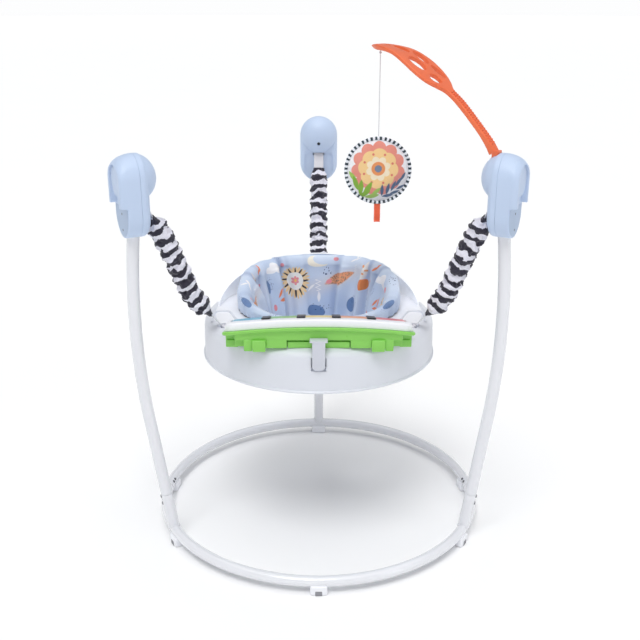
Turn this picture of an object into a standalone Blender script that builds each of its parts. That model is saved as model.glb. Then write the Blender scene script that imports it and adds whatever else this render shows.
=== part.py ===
# Baby activity center: a floor-standing jumper with a sprung seat, a round tray,
# a toy piano and a toy bar. Metres, +Z up; the baby faces -Y.
# The origin is on the floor, below the middle of the whole object.

import bpy
import bmesh
from math import cos, degrees, hypot, pi, radians, sin, sqrt
from mathutils import Matrix, Vector

GAP = 0.0003                # between neighbouring solids

# Floor base and uprights
RING_RADIUS = 0.365         # centreline of the ring
RING_TUBE = 0.0115          # tube radius
FOOT_HEIGHT = 0.014
FOOT_LENGTH = 0.036
FOOT_WIDTH = 0.030
SEAM_ANGLE = 1.7            # degrees behind the X axis where the two arcs join
TOWER_ANGLE = 27.0          # degrees in front of the X axis for the side towers
UPRIGHT_TUBE = 0.0127       # tube radius
TUBE_WALL = 0.0015
SPIGOT_LENGTH = 0.040
STUB_LENGTH = 0.0915        # above the ring's centreline
UPRIGHT_LENGTH = 0.633      # height gained above the stub
UPRIGHT_LEAN = 0.14         # outward run for each unit of rise
STRAIGHT_LENGTH = 0.183     # height above the stub where the upright curves in
BEND_RADIUS = 1.70

RING_HEIGHT = FOOT_HEIGHT + RING_TUBE
STUB_TOP = RING_HEIGHT + STUB_LENGTH
UPRIGHT_TOP = STUB_TOP + UPRIGHT_LENGTH
BEND_START = STUB_TOP + STRAIGHT_LENGTH


def upright_reach(height):
    """Distance of an upright's centreline from the ring's axis."""
    bend = max(0.0, height - BEND_START)
    sweep_in = BEND_RADIUS - sqrt(BEND_RADIUS ** 2 - bend ** 2)
    return RING_RADIUS + UPRIGHT_LEAN * (height - RING_HEIGHT) - sweep_in


# Tower heads: reaches are measured from the ring's axis
HEAD_HALF_WIDTH = 0.047
HEAD_LENGTH = 0.164
HEAD_ABOVE = 0.117          # above the upright's end
FRONT_SHELL = 0.0185        # depth of the shell towards the seat
REAR_SHELL = 0.0275
ARCH_DEPTH = 0.013          # the raised arch on the rear shell
DOME_DEPTH = 0.024
PIN_RADIUS = 0.003
PIN_DROP = 0.028            # below the middle of the head's round top

HEAD_HIGH = UPRIGHT_TOP + HEAD_ABOVE
HEAD_LOW = HEAD_HIGH - HEAD_LENGTH
HEAD_MIDDLE = HEAD_HIGH - HEAD_HALF_WIDTH
HEAD_SEAM = upright_reach(UPRIGHT_TOP) - UPRIGHT_TUBE / 4
HEAD_INNER = HEAD_SEAM - FRONT_SHELL
HEAD_PANEL = HEAD_SEAM + REAR_SHELL
HEAD_OUTER = HEAD_PANEL + ARCH_DEPTH
HEAD_CAVITY = HEAD_HALF_WIDTH * 0.77
DOME_RADIUS = HEAD_HALF_WIDTH * 0.895
ARCH_OPENING = HEAD_HALF_WIDTH * 0.68
ARCH_LEG_LOW = HEAD_MIDDLE - HEAD_HALF_WIDTH * 1.15
DISC_RADIUS = ARCH_OPENING - 0.0015
DISC_FACE = HEAD_OUTER - ARCH_DEPTH * 0.27
PIN_REACH = HEAD_SEAM + REAR_SHELL * 0.2
PIN_HEIGHT = HEAD_MIDDLE - PIN_DROP

# Suspension
STRAP_WIDTH = 0.024
LINK_WIDTH = 0.018
WEB_THICK = 0.0024
COIL_RADIUS = 0.0105
COIL_WIRE = 0.00125
COIL_TURNS = 11
HOOK_RADIUS = 0.006
SLEEVE_GATHERS = 10
GATHER_DEPTH = 0.004
STRAP_END = 0.090           # lengths along the suspension's route
SLEEVE_START = 0.064
SLEEVE_END_LEFT = 0.047     # route left below the sleeve
LINK_START_LEFT = 0.064

SLEEVE_BORE = COIL_RADIUS + COIL_WIRE + 0.0028
SLEEVE_LOW = SLEEVE_BORE + 0.0026       # valley between gathers
SLEEVE_HIGH = SLEEVE_LOW + GATHER_DEPTH
SLEEVE_NECK = STRAP_WIDTH / 2 + 0.001
SLEEVE_TAIL = LINK_WIDTH / 2 + 0.001

# Tray
DECK = 0.4868               # height of the deck's top
TRAY_RADIUS = 0.2565
TRAY_DEPTH = 0.0913
TRAY_LIP = 0.004            # the rim stands this far out
TRAY_WALL = 0.003
TRAY_STEPS = 40
DECK_SIDE = 0.096444        # deck from the seat opening out to the tray's side
DECK_FRONT = 0.15146325
DECK_REAR = 0.06143175
BACK_RISE = 0.072
BACK_SPAN = 84.0            # degrees each way from the rear
BACK_WALL = 0.003
BACK_LEAN = 0.010           # inwards at the top

TRAY_LOW = DECK - TRAY_DEPTH
TRAY_RIM_RADIUS = TRAY_RADIUS + TRAY_LIP
OPENING_X = TRAY_RADIUS - DECK_SIDE     # half width of the seat opening
OPENING_Y = TRAY_RADIUS - (DECK_FRONT + DECK_REAR) / 2
SEAT_Y = (DECK_FRONT - DECK_REAR) / 2   # middle of the seat opening
SLOT_RADIUS = TRAY_RADIUS - 0.0235      # where a link goes through the deck
BACK_RADIUS = TRAY_RADIUS - 0.026

# Seat
OVAL_POWER = 2.6            # 2 is an ellipse, more is squarer
SEAT_STEPS = 30
RING_WALL = 0.004
RING_LAND = 0.006           # seat ring's distance outside the opening
RING_RISE = 0.053           # height gained from front to back
RING_CLEAR = 0.0152         # front of the ring above the deck
CLOTH = 0.002
SLING_DEPTH = 0.1908        # below the deck

RING_FRONT = DECK + RING_CLEAR
SLING_LOW = DECK - SLING_DEPTH
LEG_HOLE = SLING_DEPTH * 0.246

# Toy piano, on a tilted and crowned top. The front is the side away from the baby.
PIANO_HALF = 0.1935
PIANO_TILT = 0.27           # fall towards the baby for each unit of depth
PIANO_CROWN = 0.011         # fall from the middle to the ends
CASE_HEIGHT = 0.0394        # deck to the green lip
LIP_THICK = 0.0058
COVER_HEIGHT = 0.0170
KEYBED_DROP = 0.0105        # keybed below the cover's top
KEY_TRAVEL = 0.0041
KEY_GAP = 0.0012
CASE_WALL = 0.0027
BATTERY_RADIUS = 0.0071
BATTERY_LENGTH = 0.050

PIANO_FRONT = 0.0105 - TRAY_RADIUS
PIANO_BACK = PIANO_FRONT + TRAY_RADIUS * 0.4444
BASE_HALF = PIANO_HALF - 0.0255
BASE_FRONT = PIANO_FRONT + 0.006
LIP_LOW = DECK + CASE_HEIGHT
LIP_HIGH = LIP_LOW + LIP_THICK
COVER_HIGH = LIP_HIGH + COVER_HEIGHT
KEYBED = COVER_HIGH - KEYBED_DROP
KEYBED_HALF = PIANO_HALF - 0.0135
KEY_TOP = COVER_HIGH - 0.0004
KEY_THICK = KEYBED_DROP - KEY_TRAVEL - 0.0004
KEY_PITCH = (2 * KEYBED_HALF - 0.0025) / 5
KEY_REAR = PIANO_FRONT + TRAY_RADIUS * 0.2125
KEY_FREE = PIANO_BACK + 0.002

# Latch
LATCH_WIDTH = 0.026
LATCH_THICK = 0.003
LATCH_RISE = 0.0227         # above the deck
LATCH_DROP = 0.0378         # its pivot below the deck

LATCH_TOP = DECK + LATCH_RISE
LATCH_PIVOT = (0.010 - TRAY_RADIUS, DECK - LATCH_DROP)

# Toy bar and hanging toy
BAR_HEADING = (-0.80, 0.60)
# distance along the heading, height above the head, width, thickness
BAR_SECTIONS = (
    (0.000, 0.0035, 0.021, 0.0140),
    (0.0095, 0.0167, 0.021, 0.0125),
    (0.032, 0.0415, 0.022, 0.0095),
    (0.079, 0.0895, 0.023, 0.0090),
    (0.106, 0.111, 0.027, 0.0085),
    (0.120, 0.121, 0.056, 0.0080),
    (0.137, 0.132, 0.086, 0.0075),
    (0.160, 0.149, 0.100, 0.0075),
    (0.186, 0.167, 0.098, 0.0075),
    (0.214, 0.182, 0.084, 0.0080),
    (0.241, 0.1895, 0.067, 0.0090),
    (0.270, 0.1935, 0.040, 0.0120),
    (0.292, 0.1920, 0.008, 0.0110),
)
# distance along the heading, sideways place, half length, half width, turn in degrees
BAR_OPENINGS = (
    (0.250, -0.004, 0.006, 0.0045, 0),
    (0.222, -0.010, 0.019, 0.0085, 8),
    (0.193, 0.020, 0.018, 0.0085, 6),
    (0.157, 0.029, 0.017, 0.0085, -8),
    (0.170, -0.016, 0.016, 0.0125, -6),
    (0.135, -0.008, 0.011, 0.0100, 0),
)
PLUG_DEPTH = 0.026
STRING_AT = 0.272           # distance along the heading
STRING_LENGTH = 0.165
STRING_RADIUS = 0.0009
KNOT_RADIUS = 0.003
TOY_RADIUS = 0.0715
TOY_BORDER = 0.0065
TOY_THICK = 0.026
RIBBON_LENGTH = 0.040

BAR_REACH = HEAD_INNER + 0.0011
BAR_BASE = (BAR_REACH * cos(radians(TOWER_ANGLE)), -BAR_REACH * sin(radians(TOWER_ANGLE)))
TOY_PAD = TOY_RADIUS - TOY_BORDER
TOWERS = {"left": 180.0 + TOWER_ANGLE, "right": -TOWER_ANGLE, "rear": 90.0}
# puts the origin half way between the front foot and the back of the rear head
MIDDLE_SHIFT = (RING_RADIUS + FOOT_WIDTH / 2 - HEAD_OUTER) / 2

for old in list(bpy.data.objects):
    bpy.data.objects.remove(old, do_unlink=True)

parts = bpy.data.collections.new("baby_activity_center")
cutters = bpy.data.collections.new("cutters")
for group in (parts, cutters):
    bpy.context.scene.collection.children.link(group)


def material(name, colour, roughness, metallic=0.0):
    made = bpy.data.materials.new(name)
    made.use_nodes = True
    shader = made.node_tree.nodes["Principled BSDF"]
    shader.inputs["Base Color"].default_value = (*colour, 1.0)
    shader.inputs["Roughness"].default_value = roughness
    shader.inputs["Metallic"].default_value = metallic
    made.diffuse_color = (*colour, 1.0)
    return made


WHITE_TUBE = material("white_tube", (0.86, 0.87, 0.88), 0.22)
WHITE_PLASTIC = material("white_plastic", (0.88, 0.89, 0.91), 0.35)
BLUE_PLASTIC = material("light_blue_plastic", (0.55, 0.68, 0.88), 0.38)
GREY_PLASTIC = material("pale_grey_plastic", (0.68, 0.70, 0.76), 0.40)
GREEN_PLASTIC = material("green_plastic", (0.27, 0.65, 0.13), 0.33)
ORANGE_PLASTIC = material("orange_plastic", (0.86, 0.22, 0.08), 0.36)
BLACK_PLASTIC = material("black_plastic", (0.03, 0.03, 0.04), 0.35)
STEEL = material("steel", (0.60, 0.61, 0.63), 0.30, 1.0)
WEBBING = material("white_webbing", (0.87, 0.87, 0.90), 0.80)
ZEBRA_CLOTH = material("zebra_cloth", (0.60, 0.60, 0.66), 0.85)
SEAT_CLOTH = material("seat_cloth", (0.45, 0.57, 0.80), 0.85)
TOY_CLOTH = material("toy_cloth", (0.90, 0.72, 0.50), 0.85)
BORDER_CLOTH = material("border_cloth", (0.20, 0.24, 0.26), 0.85)
RIBBON_CLOTH = material("ribbon_cloth", (0.80, 0.20, 0.08), 0.75)
STRING_FIBRE = material("string_fibre", (0.75, 0.76, 0.78), 0.70)
BOARD_GREEN = material("board_green", (0.03, 0.22, 0.08), 0.50)
KEY_COLOURS = {
    "blue": material("key_blue", (0.10, 0.50, 0.70), 0.33),
    "green": material("key_green", (0.30, 0.62, 0.20), 0.33),
    "yellow": material("key_yellow", (0.92, 0.72, 0.12), 0.33),
    "orange": material("key_orange", (0.93, 0.42, 0.10), 0.33),
    "red": material("key_red", (0.80, 0.08, 0.07), 0.33),
}

# Empties carry the pieces. Meshes keep the ring-centred frame, so each empty
# remembers its own place in it.
places = {}


def carrier(name, place=(0, 0, 0), parent=None, turn=0.0):
    empty = bpy.data.objects.new(name, None)
    parts.objects.link(empty)
    empty.parent = parent
    held_at = places[parent.name] if parent else Vector((0, 0, 0))
    empty.location = Vector(place) - held_at
    empty.rotation_euler.z = turn
    places[name] = Vector(place)
    return empty


stand = carrier("stand")
stand.location.y = MIDDLE_SHIFT
towers = {side: carrier("tower_" + side, parent=stand, turn=radians(angle - 90))
          for side, angle in TOWERS.items()}
bounce = carrier("seat_bounce_axis", (0, 0, DECK), stand)
lift = carrier("piano_lift_axis", (0, BASE_FRONT, DECK), bounce)


def finished(bm, name):
    bmesh.ops.remove_doubles(bm, verts=bm.verts, dist=1e-6)
    bmesh.ops.recalc_face_normals(bm, faces=bm.faces)
    mesh = bpy.data.meshes.new(name)
    bm.to_mesh(mesh)
    bm.free()
    return mesh


def outward(mesh):
    """The same mesh with its faces pointing out, after a mirroring transform."""
    bm = bmesh.new()
    bm.from_mesh(mesh)
    return finished(bm, mesh.name)


def add(name, mesh, finish, parent, sharp=35):
    obj = bpy.data.objects.new(name, mesh)
    parts.objects.link(obj)
    if not mesh.materials:
        mesh.materials.append(finish)
        mesh.shade_smooth()
        mesh.set_sharp_from_angle(angle=radians(sharp))
    obj.parent = parent
    obj.location = -places[parent.name]
    return obj


def boolean(target, mesh, operation="DIFFERENCE"):
    tool = bpy.data.objects.new(target.name + "_tool", mesh)
    cutters.objects.link(tool)
    tool.hide_render = True
    tool.display_type = "WIRE"
    tool.parent = target.parent
    tool.location = target.location
    step = target.modifiers.new(operation.title(), "BOOLEAN")
    step.operation = operation
    step.solver = "EXACT"
    step.object = tool


def shaped(name, mesh, cuts=(), joins=()):
    """One mesh from a blank, what is joined to it and then what is cut out of it."""
    blank = bpy.data.objects.new(name, mesh)
    cutters.objects.link(blank)
    tools = []
    for group, operation in ((joins, "UNION"), (cuts, "DIFFERENCE")):
        for other in group:
            tool = bpy.data.objects.new(name + "_tool", other)
            cutters.objects.link(tool)
            tools.append(tool)
            step = blank.modifiers.new(operation.title(), "BOOLEAN")
            step.operation = operation
            step.solver = "EXACT"
            step.object = tool
    graph = bpy.context.evaluated_depsgraph_get()
    result = bpy.data.meshes.new_from_object(blank.evaluated_get(graph))
    result.name = name
    for used in [blank] + tools:
        bpy.data.objects.remove(used, do_unlink=True)
    bm = bmesh.new()
    bm.from_mesh(result)
    bmesh.ops.remove_doubles(bm, verts=bm.verts, dist=2e-6)
    bm.to_mesh(result)
    bm.free()
    return result


def box(low, high, bevel=0.0, segments=1):
    bm = bmesh.new()
    size = [b - a for a, b in zip(low, high)]
    middle = [(a + b) / 2 for a, b in zip(low, high)]
    bmesh.ops.create_cube(bm, size=1.0)
    bmesh.ops.scale(bm, vec=size, verts=bm.verts)
    bmesh.ops.translate(bm, vec=middle, verts=bm.verts)
    if bevel:
        bmesh.ops.bevel(bm, geom=bm.edges[:], offset=bevel, segments=segments,
                        profile=0.5, affect="EDGES")
    return finished(bm, "box")


def rod(start, end, radius, sides=12, end_radius=None):
    """A round bar between two points."""
    start, end = Vector(start), Vector(end)
    along = end - start
    bm = bmesh.new()
    bmesh.ops.create_cone(bm, cap_ends=True, segments=sides, radius1=radius,
                          radius2=radius if end_radius is None else end_radius,
                          depth=along.length)
    turn = Vector((0, 0, 1)).rotation_difference(along).to_matrix().to_4x4()
    place = Matrix.Translation((start + end) / 2) @ turn
    bmesh.ops.transform(bm, matrix=place, verts=bm.verts)
    return finished(bm, "rod")


def turned(profile, steps, closed=False, angle=2 * pi):
    """A profile of (radius, height) points turned about Z. An open one meets the axis."""
    bm = bmesh.new()
    verts = [bm.verts.new((r, 0, z)) for r, z in profile]
    pairs = list(zip(verts, verts[1:]))
    if closed:
        pairs.append((verts[-1], verts[0]))
    edges = [bm.edges.new(pair) for pair in pairs]
    bmesh.ops.spin(bm, geom=verts + edges, cent=(0, 0, 0), axis=(0, 0, 1),
                   angle=angle, steps=steps, use_merge=True)
    bmesh.ops.dissolve_degenerate(bm, dist=1e-7, edges=bm.edges)
    return finished(bm, "turned")


def facing_back(mesh, place):
    """Lays a turned mesh's axis along +Y, at a place."""
    mesh.transform(Matrix.Translation(place) @ Matrix.Rotation(radians(-90), 4, "X"))
    return mesh


def prism(outline, low, high, bevel_low=0.0, bevel_high=0.0, segments=2):
    """A flat outline of (x, y) points given a height, its rims rounded."""
    bm = bmesh.new()
    face = bm.faces.new([bm.verts.new((x, y, low)) for x, y in outline])
    bmesh.ops.extrude_face_region(bm, geom=[face])
    for vert in bm.verts[len(outline):]:
        vert.co.z = high
    for level, amount in ((low, bevel_low), (high, bevel_high)):
        if amount:
            rim = [e for e in bm.edges if all(abs(v.co.z - level) < 1e-6 for v in e.verts)]
            bmesh.ops.bevel(bm, geom=rim, offset=amount, segments=segments,
                            profile=0.5, affect="EDGES")
    return finished(bm, "prism")


def rounded(low, high, radius, steps=3):
    """Outline of a rectangle with round corners."""
    points = []
    for corner, (cx, cy) in enumerate(((high[0] - radius, high[1] - radius),
                                       (low[0] + radius, high[1] - radius),
                                       (low[0] + radius, low[1] + radius),
                                       (high[0] - radius, low[1] + radius))):
        for step in range(steps + 1):
            angle = pi / 2 * (corner + step / steps)
            points.append((cx + radius * cos(angle), cy + radius * sin(angle)))
    return points


def capsule(half_width, low, high, steps=7):
    """Outline with half-round ends, along its second axis."""
    points = []
    for start, centre in ((0, high - half_width), (pi, low + half_width)):
        for step in range(steps + 1):
            angle = start + pi * step / steps
            points.append((half_width * cos(angle), centre + half_width * sin(angle)))
    return points


def swept(points, radius, shares=None, detail=3, cyclic=False):
    """A round tube along points; shares scale its radius at each one."""
    curve = bpy.data.curves.new("sweep", "CURVE")
    curve.dimensions = "3D"
    curve.bevel_depth = radius
    curve.bevel_resolution = detail
    curve.use_fill_caps = True
    line = curve.splines.new("POLY")
    line.points.add(len(points) - 1)
    line.use_cyclic_u = cyclic
    for index, place in enumerate(points):
        line.points[index].co = (*place, 1.0)
        line.points[index].radius = shares[index] if shares else 1.0
    holder = bpy.data.objects.new("sweep", curve)
    cutters.objects.link(holder)
    graph = bpy.context.evaluated_depsgraph_get()
    mesh = bpy.data.meshes.new_from_object(holder.evaluated_get(graph))
    bpy.data.objects.remove(holder, do_unlink=True)
    bpy.data.curves.remove(curve)
    bm = bmesh.new()
    bm.from_mesh(mesh)
    mesh.materials.clear()
    return finished(bm, "swept")


def loft(sections, closed_ends=True):
    """Skins rings of points that all hold the same number of points."""
    bm = bmesh.new()
    rings = [[bm.verts.new(point) for point in section] for section in sections]
    for ring, after in zip(rings, rings[1:]):
        for index in range(len(ring)):
            along = (index + 1) % len(ring)
            bm.faces.new((ring[index], ring[along], after[along], after[index]))
    if closed_ends:
        bm.faces.new(rings[0])
        bm.faces.new(rings[-1])
    return finished(bm, "loft")


def on_ring(angle, radius=RING_RADIUS, height=RING_HEIGHT):
    return Vector((radius * cos(radians(angle)), radius * sin(radians(angle)), height))


def arc_places(start, end, count):
    return [on_ring(start + (end - start) * step / count) for step in range(count + 1)]


def square_ended(start, end, count):
    """Arc places with short first and last steps, so that the end faces point at the axis."""
    nudge = 0.08 if end > start else -0.08
    inner = arc_places(start, end, count)
    return [inner[0], on_ring(start + nudge)] + inner[1:-1] + [on_ring(end - nudge), inner[-1]]


def tower_point(height, sideways=0.0):
    return Vector((sideways, upright_reach(height), height))


def smooth_route(points, spacing=0.002):
    """Even steps along a smooth curve through points in a tower's upright plane."""
    ends = [points[0]] + list(points) + [points[-1]]
    fine = []
    for before, a, b, after in zip(ends, ends[1:], ends[2:], ends[3:]):
        for step in range(12):
            t = step / 12
            fine.append([0.5 * (2 * a[k] + (b[k] - before[k]) * t
                                + (2 * before[k] - 5 * a[k] + 4 * b[k] - after[k]) * t ** 2
                                + (3 * a[k] - before[k] - 3 * b[k] + after[k]) * t ** 3)
                         for k in (0, 1)])
    fine.append(points[-1])
    lengths = [0.0]
    for a, b in zip(fine, fine[1:]):
        lengths.append(lengths[-1] + hypot(b[0] - a[0], b[1] - a[1]))
    return fine, lengths


# Route of strap, spring and link from the hanger pin to the tray: (reach, height).
# It leaves the head under the dome, then runs in shares of what is left to the deck.
LINK_PIN = (SLOT_RADIUS - 0.0062, DECK - TRAY_WALL - GAP - PIN_RADIUS)
ROUTE = [(PIN_REACH, PIN_HEIGHT), (PIN_REACH - 0.012, PIN_HEIGHT - 0.0105),
         (HEAD_INNER + 0.0045, PIN_HEIGHT - 0.0165), (HEAD_INNER - 0.0015, PIN_HEIGHT - 0.026)]
for reach, rise in ((0.950, 0.930), (0.876, 0.842), (0.772, 0.728), (0.671, 0.602),
                    (0.577, 0.484), (0.503, 0.377), (0.423, 0.284), (0.322, 0.205),
                    (0.215, 0.137), (0.107, 0.069), (0, 0)):
    ROUTE.append((SLOT_RADIUS + reach * (ROUTE[3][0] - SLOT_RADIUS),
                  DECK + rise * (ROUTE[3][1] - DECK)))
ROUTE.append(LINK_PIN)
route_points, route_lengths = smooth_route(ROUTE)
ROUTE_LENGTH = route_lengths[-1]


def route_at(distance):
    """Place and direction on the route, in a tower's upright plane."""
    distance = min(max(distance, 0.0), ROUTE_LENGTH)
    for index in range(1, len(route_lengths)):
        if route_lengths[index] >= distance:
            break
    a, b = Vector(route_points[index - 1]), Vector(route_points[index])
    share = (distance - route_lengths[index - 1]) / (b - a).length
    along = (b - a).normalized()
    place = a.lerp(b, share)
    return Vector((0, place.x, place.y)), Vector((0, along.x, along.y))


def route_frame(distance):
    place, along = route_at(distance)
    return place, along, along.cross(Vector((1, 0, 0)))


def web(start, end, width, steps):
    """Flat webbing along the route."""
    sections = []
    for step in range(steps + 1):
        place, along, off = route_frame(start + (end - start) * step / steps)
        sections.append([place + Vector((x * width / 2, 0, 0)) + off * (y * WEB_THICK / 2)
                         for x, y in ((-1, -1), (1, -1), (1, 1), (-1, 1))])
    return loft(sections)


def stub_mesh():
    return swept([tower_point(RING_HEIGHT), tower_point(STUB_TOP)], UPRIGHT_TUBE)


def stub_bore():
    low, high = tower_point(STUB_TOP - SPIGOT_LENGTH - GAP), tower_point(STUB_TOP + 0.002)
    return swept([low, high], UPRIGHT_TUBE - TUBE_WALL)


def turned_to(mesh, side):
    copy = mesh.copy()
    copy.transform(Matrix.Rotation(radians(TOWERS[side] - 90), 4, "Z"))
    return copy


def build_base():
    seam_step = degrees(SPIGOT_LENGTH / RING_RADIUS)
    seam_gap = degrees(GAP / RING_RADIUS)
    spigot = (RING_TUBE - TUBE_WALL - GAP) / RING_TUBE
    start, end = 180 - SEAM_ANGLE, 360 + SEAM_ANGLE
    shoulder = degrees(0.0002 / RING_RADIUS)
    tip_steps = 3
    front = square_ended(start, end, 26)
    before = arc_places(start - seam_step, start - shoulder, tip_steps)
    after = arc_places(end + shoulder, end + seam_step, tip_steps)
    shares = [spigot] * len(before) + [1.0] * len(front) + [spigot] * len(after)
    front_tube = swept(before + front + after, RING_TUBE, shares)
    stubs = [turned_to(stub_mesh(), side) for side in ("left", "right")]
    bores = [turned_to(stub_bore(), side) for side in ("left", "right")]
    add("base_front_arc", shaped("base_front_arc", front_tube, bores, stubs),
        WHITE_TUBE, stand)

    rear = square_ended(SEAM_ANGLE + seam_gap, 180 - SEAM_ANGLE - seam_gap, 24)
    bore_ends = []
    for first, last in ((SEAM_ANGLE - 0.5, SEAM_ANGLE + seam_step + seam_gap),
                        (180 - SEAM_ANGLE + 0.5, 180 - SEAM_ANGLE - seam_step - seam_gap)):
        bore_ends.append(swept(arc_places(first, last, 4), RING_TUBE - TUBE_WALL))
    rear_mesh = shaped("base_rear_arc", swept(rear, RING_TUBE),
                       bore_ends + [stub_bore()], [stub_mesh()])
    add("base_rear_arc", rear_mesh, WHITE_TUBE, stand)

    ring_room = swept(arc_places(0, 360 - 360 / 52, 51), RING_TUBE + GAP + 0.0003, cyclic=True)
    feet = {"front": 270, "rear": 90, "front_left": 211, "front_right": 329,
            "back_left": 172, "back_right": 8}
    for name, angle in feet.items():
        blank = box((-FOOT_WIDTH / 2, -FOOT_LENGTH / 2, 0),
                    (FOOT_WIDTH / 2, FOOT_LENGTH / 2, FOOT_HEIGHT + 0.008), 0.004)
        blank.transform(Matrix.Rotation(radians(angle), 4, "Z")
                        @ Matrix.Translation((RING_RADIUS, 0, 0)))
        foot = shaped("foot_" + name, blank, [ring_room])
        add("foot_" + name, foot, WHITE_PLASTIC, stand)


def build_uprights():
    shoulder = 0.0002
    spigot = (UPRIGHT_TUBE - TUBE_WALL - GAP) / UPRIGHT_TUBE
    heights = [STUB_TOP - SPIGOT_LENGTH, STUB_TOP + GAP - shoulder, STUB_TOP + GAP]
    shares = [spigot, spigot, 1.0]
    bend_steps = 9
    for step in range(bend_steps + 1):
        heights.append(BEND_START + (UPRIGHT_TOP - BEND_START) * step / bend_steps)
        shares.append(1.0)
    mesh = swept([tower_point(z) for z in heights], UPRIGHT_TUBE, shares)
    for side, tower in towers.items():
        add("upright_" + side, mesh, WHITE_TUBE, tower)


def slab(outline, near, far, **bevels):
    """A prism that runs outward along a tower's Y axis, from an (x, z) outline."""
    mesh = prism(outline, near, far, **bevels)
    mesh.transform(Matrix(((1, 0, 0, 0), (0, 0, 1, 0), (0, 1, 0, 0), (0, 0, 0, 1))))
    bm = bmesh.new()
    bm.from_mesh(mesh)
    return finished(bm, "slab")


def upright_room():
    heights = [HEAD_LOW - 0.010, (HEAD_LOW + UPRIGHT_TOP) / 2, UPRIGHT_TOP + GAP]
    return swept([tower_point(z) for z in heights], UPRIGHT_TUBE + GAP + 0.0002)


def build_heads():
    outline = capsule(HEAD_HALF_WIDTH, HEAD_LOW, HEAD_HIGH)
    middle = HEAD_MIDDLE
    reach = DOME_DEPTH
    dome_face = HEAD_INNER - DOME_DEPTH
    dome_line = [(DOME_RADIUS * r, -reach * y)
                 for r, y in ((0, 1.0), (0.33, 0.96), (0.62, 0.79), (0.83, 0.52),
                              (0.95, 0.23), (1, 0.04))]
    dome = facing_back(turned(dome_line + [(DOME_RADIUS, 0.004), (0, 0.004)], 18),
                       (0, HEAD_INNER, middle))
    near, far = 0.0055 - FRONT_SHELL, REAR_SHELL - 0.0015
    cavity = facing_back(turned([(0, near), (HEAD_CAVITY, near), (HEAD_CAVITY, far),
                                 (0, far)], 12), (0, HEAD_SEAM, middle))
    channel = slab(rounded((-HEAD_CAVITY, HEAD_LOW - 0.04),
                           (HEAD_CAVITY, middle - DOME_RADIUS), 0.012),
                   HEAD_INNER - 0.004, HEAD_INNER + 0.0035)
    slot = box((-STRAP_WIDTH / 2 - 0.002, HEAD_INNER + 0.0025, PIN_HEIGHT - 0.0205),
               (STRAP_WIDTH / 2 + 0.002, HEAD_SEAM + 0.0015, PIN_HEIGHT))
    dome_hole = rod((0, dome_face - 0.004, middle - DOME_RADIUS * 0.4),
                    (0, dome_face + 0.008, middle - DOME_RADIUS * 0.4), 0.0034, 8)
    inner = shaped("head_inner_shell",
                   slab(outline, HEAD_INNER, HEAD_SEAM - GAP / 2, bevel_low=0.005, segments=1),
                   [cavity, channel, slot, upright_room(), dome_hole], [dome])

    arch = slab(outline, HEAD_PANEL - 0.006, HEAD_OUTER, bevel_high=ARCH_DEPTH / 2)
    lower = box((-0.06, HEAD_PANEL, HEAD_LOW - 0.01), (0.06, HEAD_OUTER + 0.01, ARCH_LEG_LOW))
    opening = slab(capsule(ARCH_OPENING, ARCH_LEG_LOW - 0.05, middle + ARCH_OPENING),
                   HEAD_PANEL + 0.003, HEAD_OUTER + 0.01)
    disc = facing_back(turned([(0, HEAD_PANEL - DISC_FACE), (DISC_RADIUS, HEAD_PANEL - DISC_FACE),
                               (DISC_RADIUS, -0.001), (DISC_RADIUS - 0.001, 0), (0, 0)], 16),
                       (0, DISC_FACE, middle))
    body = slab(outline, HEAD_SEAM + GAP / 2, HEAD_PANEL)
    arch = shaped("arch", arch, [lower, opening])
    pin_bore = rod((-0.0385, PIN_REACH, PIN_HEIGHT), (0.0385, PIN_REACH, PIN_HEIGHT),
                   PIN_RADIUS + GAP, 10)
    eye_room = box((-STRAP_WIDTH / 2 - 0.002, HEAD_SEAM - 0.001, PIN_HEIGHT - 0.0075),
                   (STRAP_WIDTH / 2 + 0.002, PIN_REACH + 0.008, PIN_HEIGHT + 0.006))
    outer = shaped("head_outer_shell", body, [cavity, upright_room(), pin_bore, slot, eye_room],
                   [arch, disc])

    pin = rod((-0.038, PIN_REACH, PIN_HEIGHT), (0.038, PIN_REACH, PIN_HEIGHT), PIN_RADIUS, 10)
    for side, tower in towers.items():
        front = add("head_inner_shell_" + side, inner.copy(), BLUE_PLASTIC, tower)
        add("head_outer_shell_" + side, outer, BLUE_PLASTIC, tower)
        add("hanger_pin_" + side, pin, STEEL, tower)
        if side == "right":
            boolean(front, plug_mesh(GAP + 0.0003, PLUG_DEPTH + 0.002, tower))


def plug_mesh(room=0.0, depth=PLUG_DEPTH, tower=None):
    """The toy bar's square plug, or with room round it the socket for it."""
    first = BAR_SECTIONS[0]
    top = HEAD_HIGH + first[1] + 0.004
    heading = Vector((*BAR_HEADING, 0))
    mesh = box((-first[3] / 2 - room, -first[2] / 2 - room, HEAD_HIGH - depth),
               (first[3] / 2 + room, first[2] / 2 + room, top), 0.0 if room else 0.0015)
    mesh.transform(Matrix.Translation((*BAR_BASE, 0))
                   @ Vector((1, 0, 0)).rotation_difference(heading).to_matrix().to_4x4())
    if tower:
        mesh.transform(Matrix.Rotation(-tower.rotation_euler.z, 4, "Z"))
    return mesh


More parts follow.
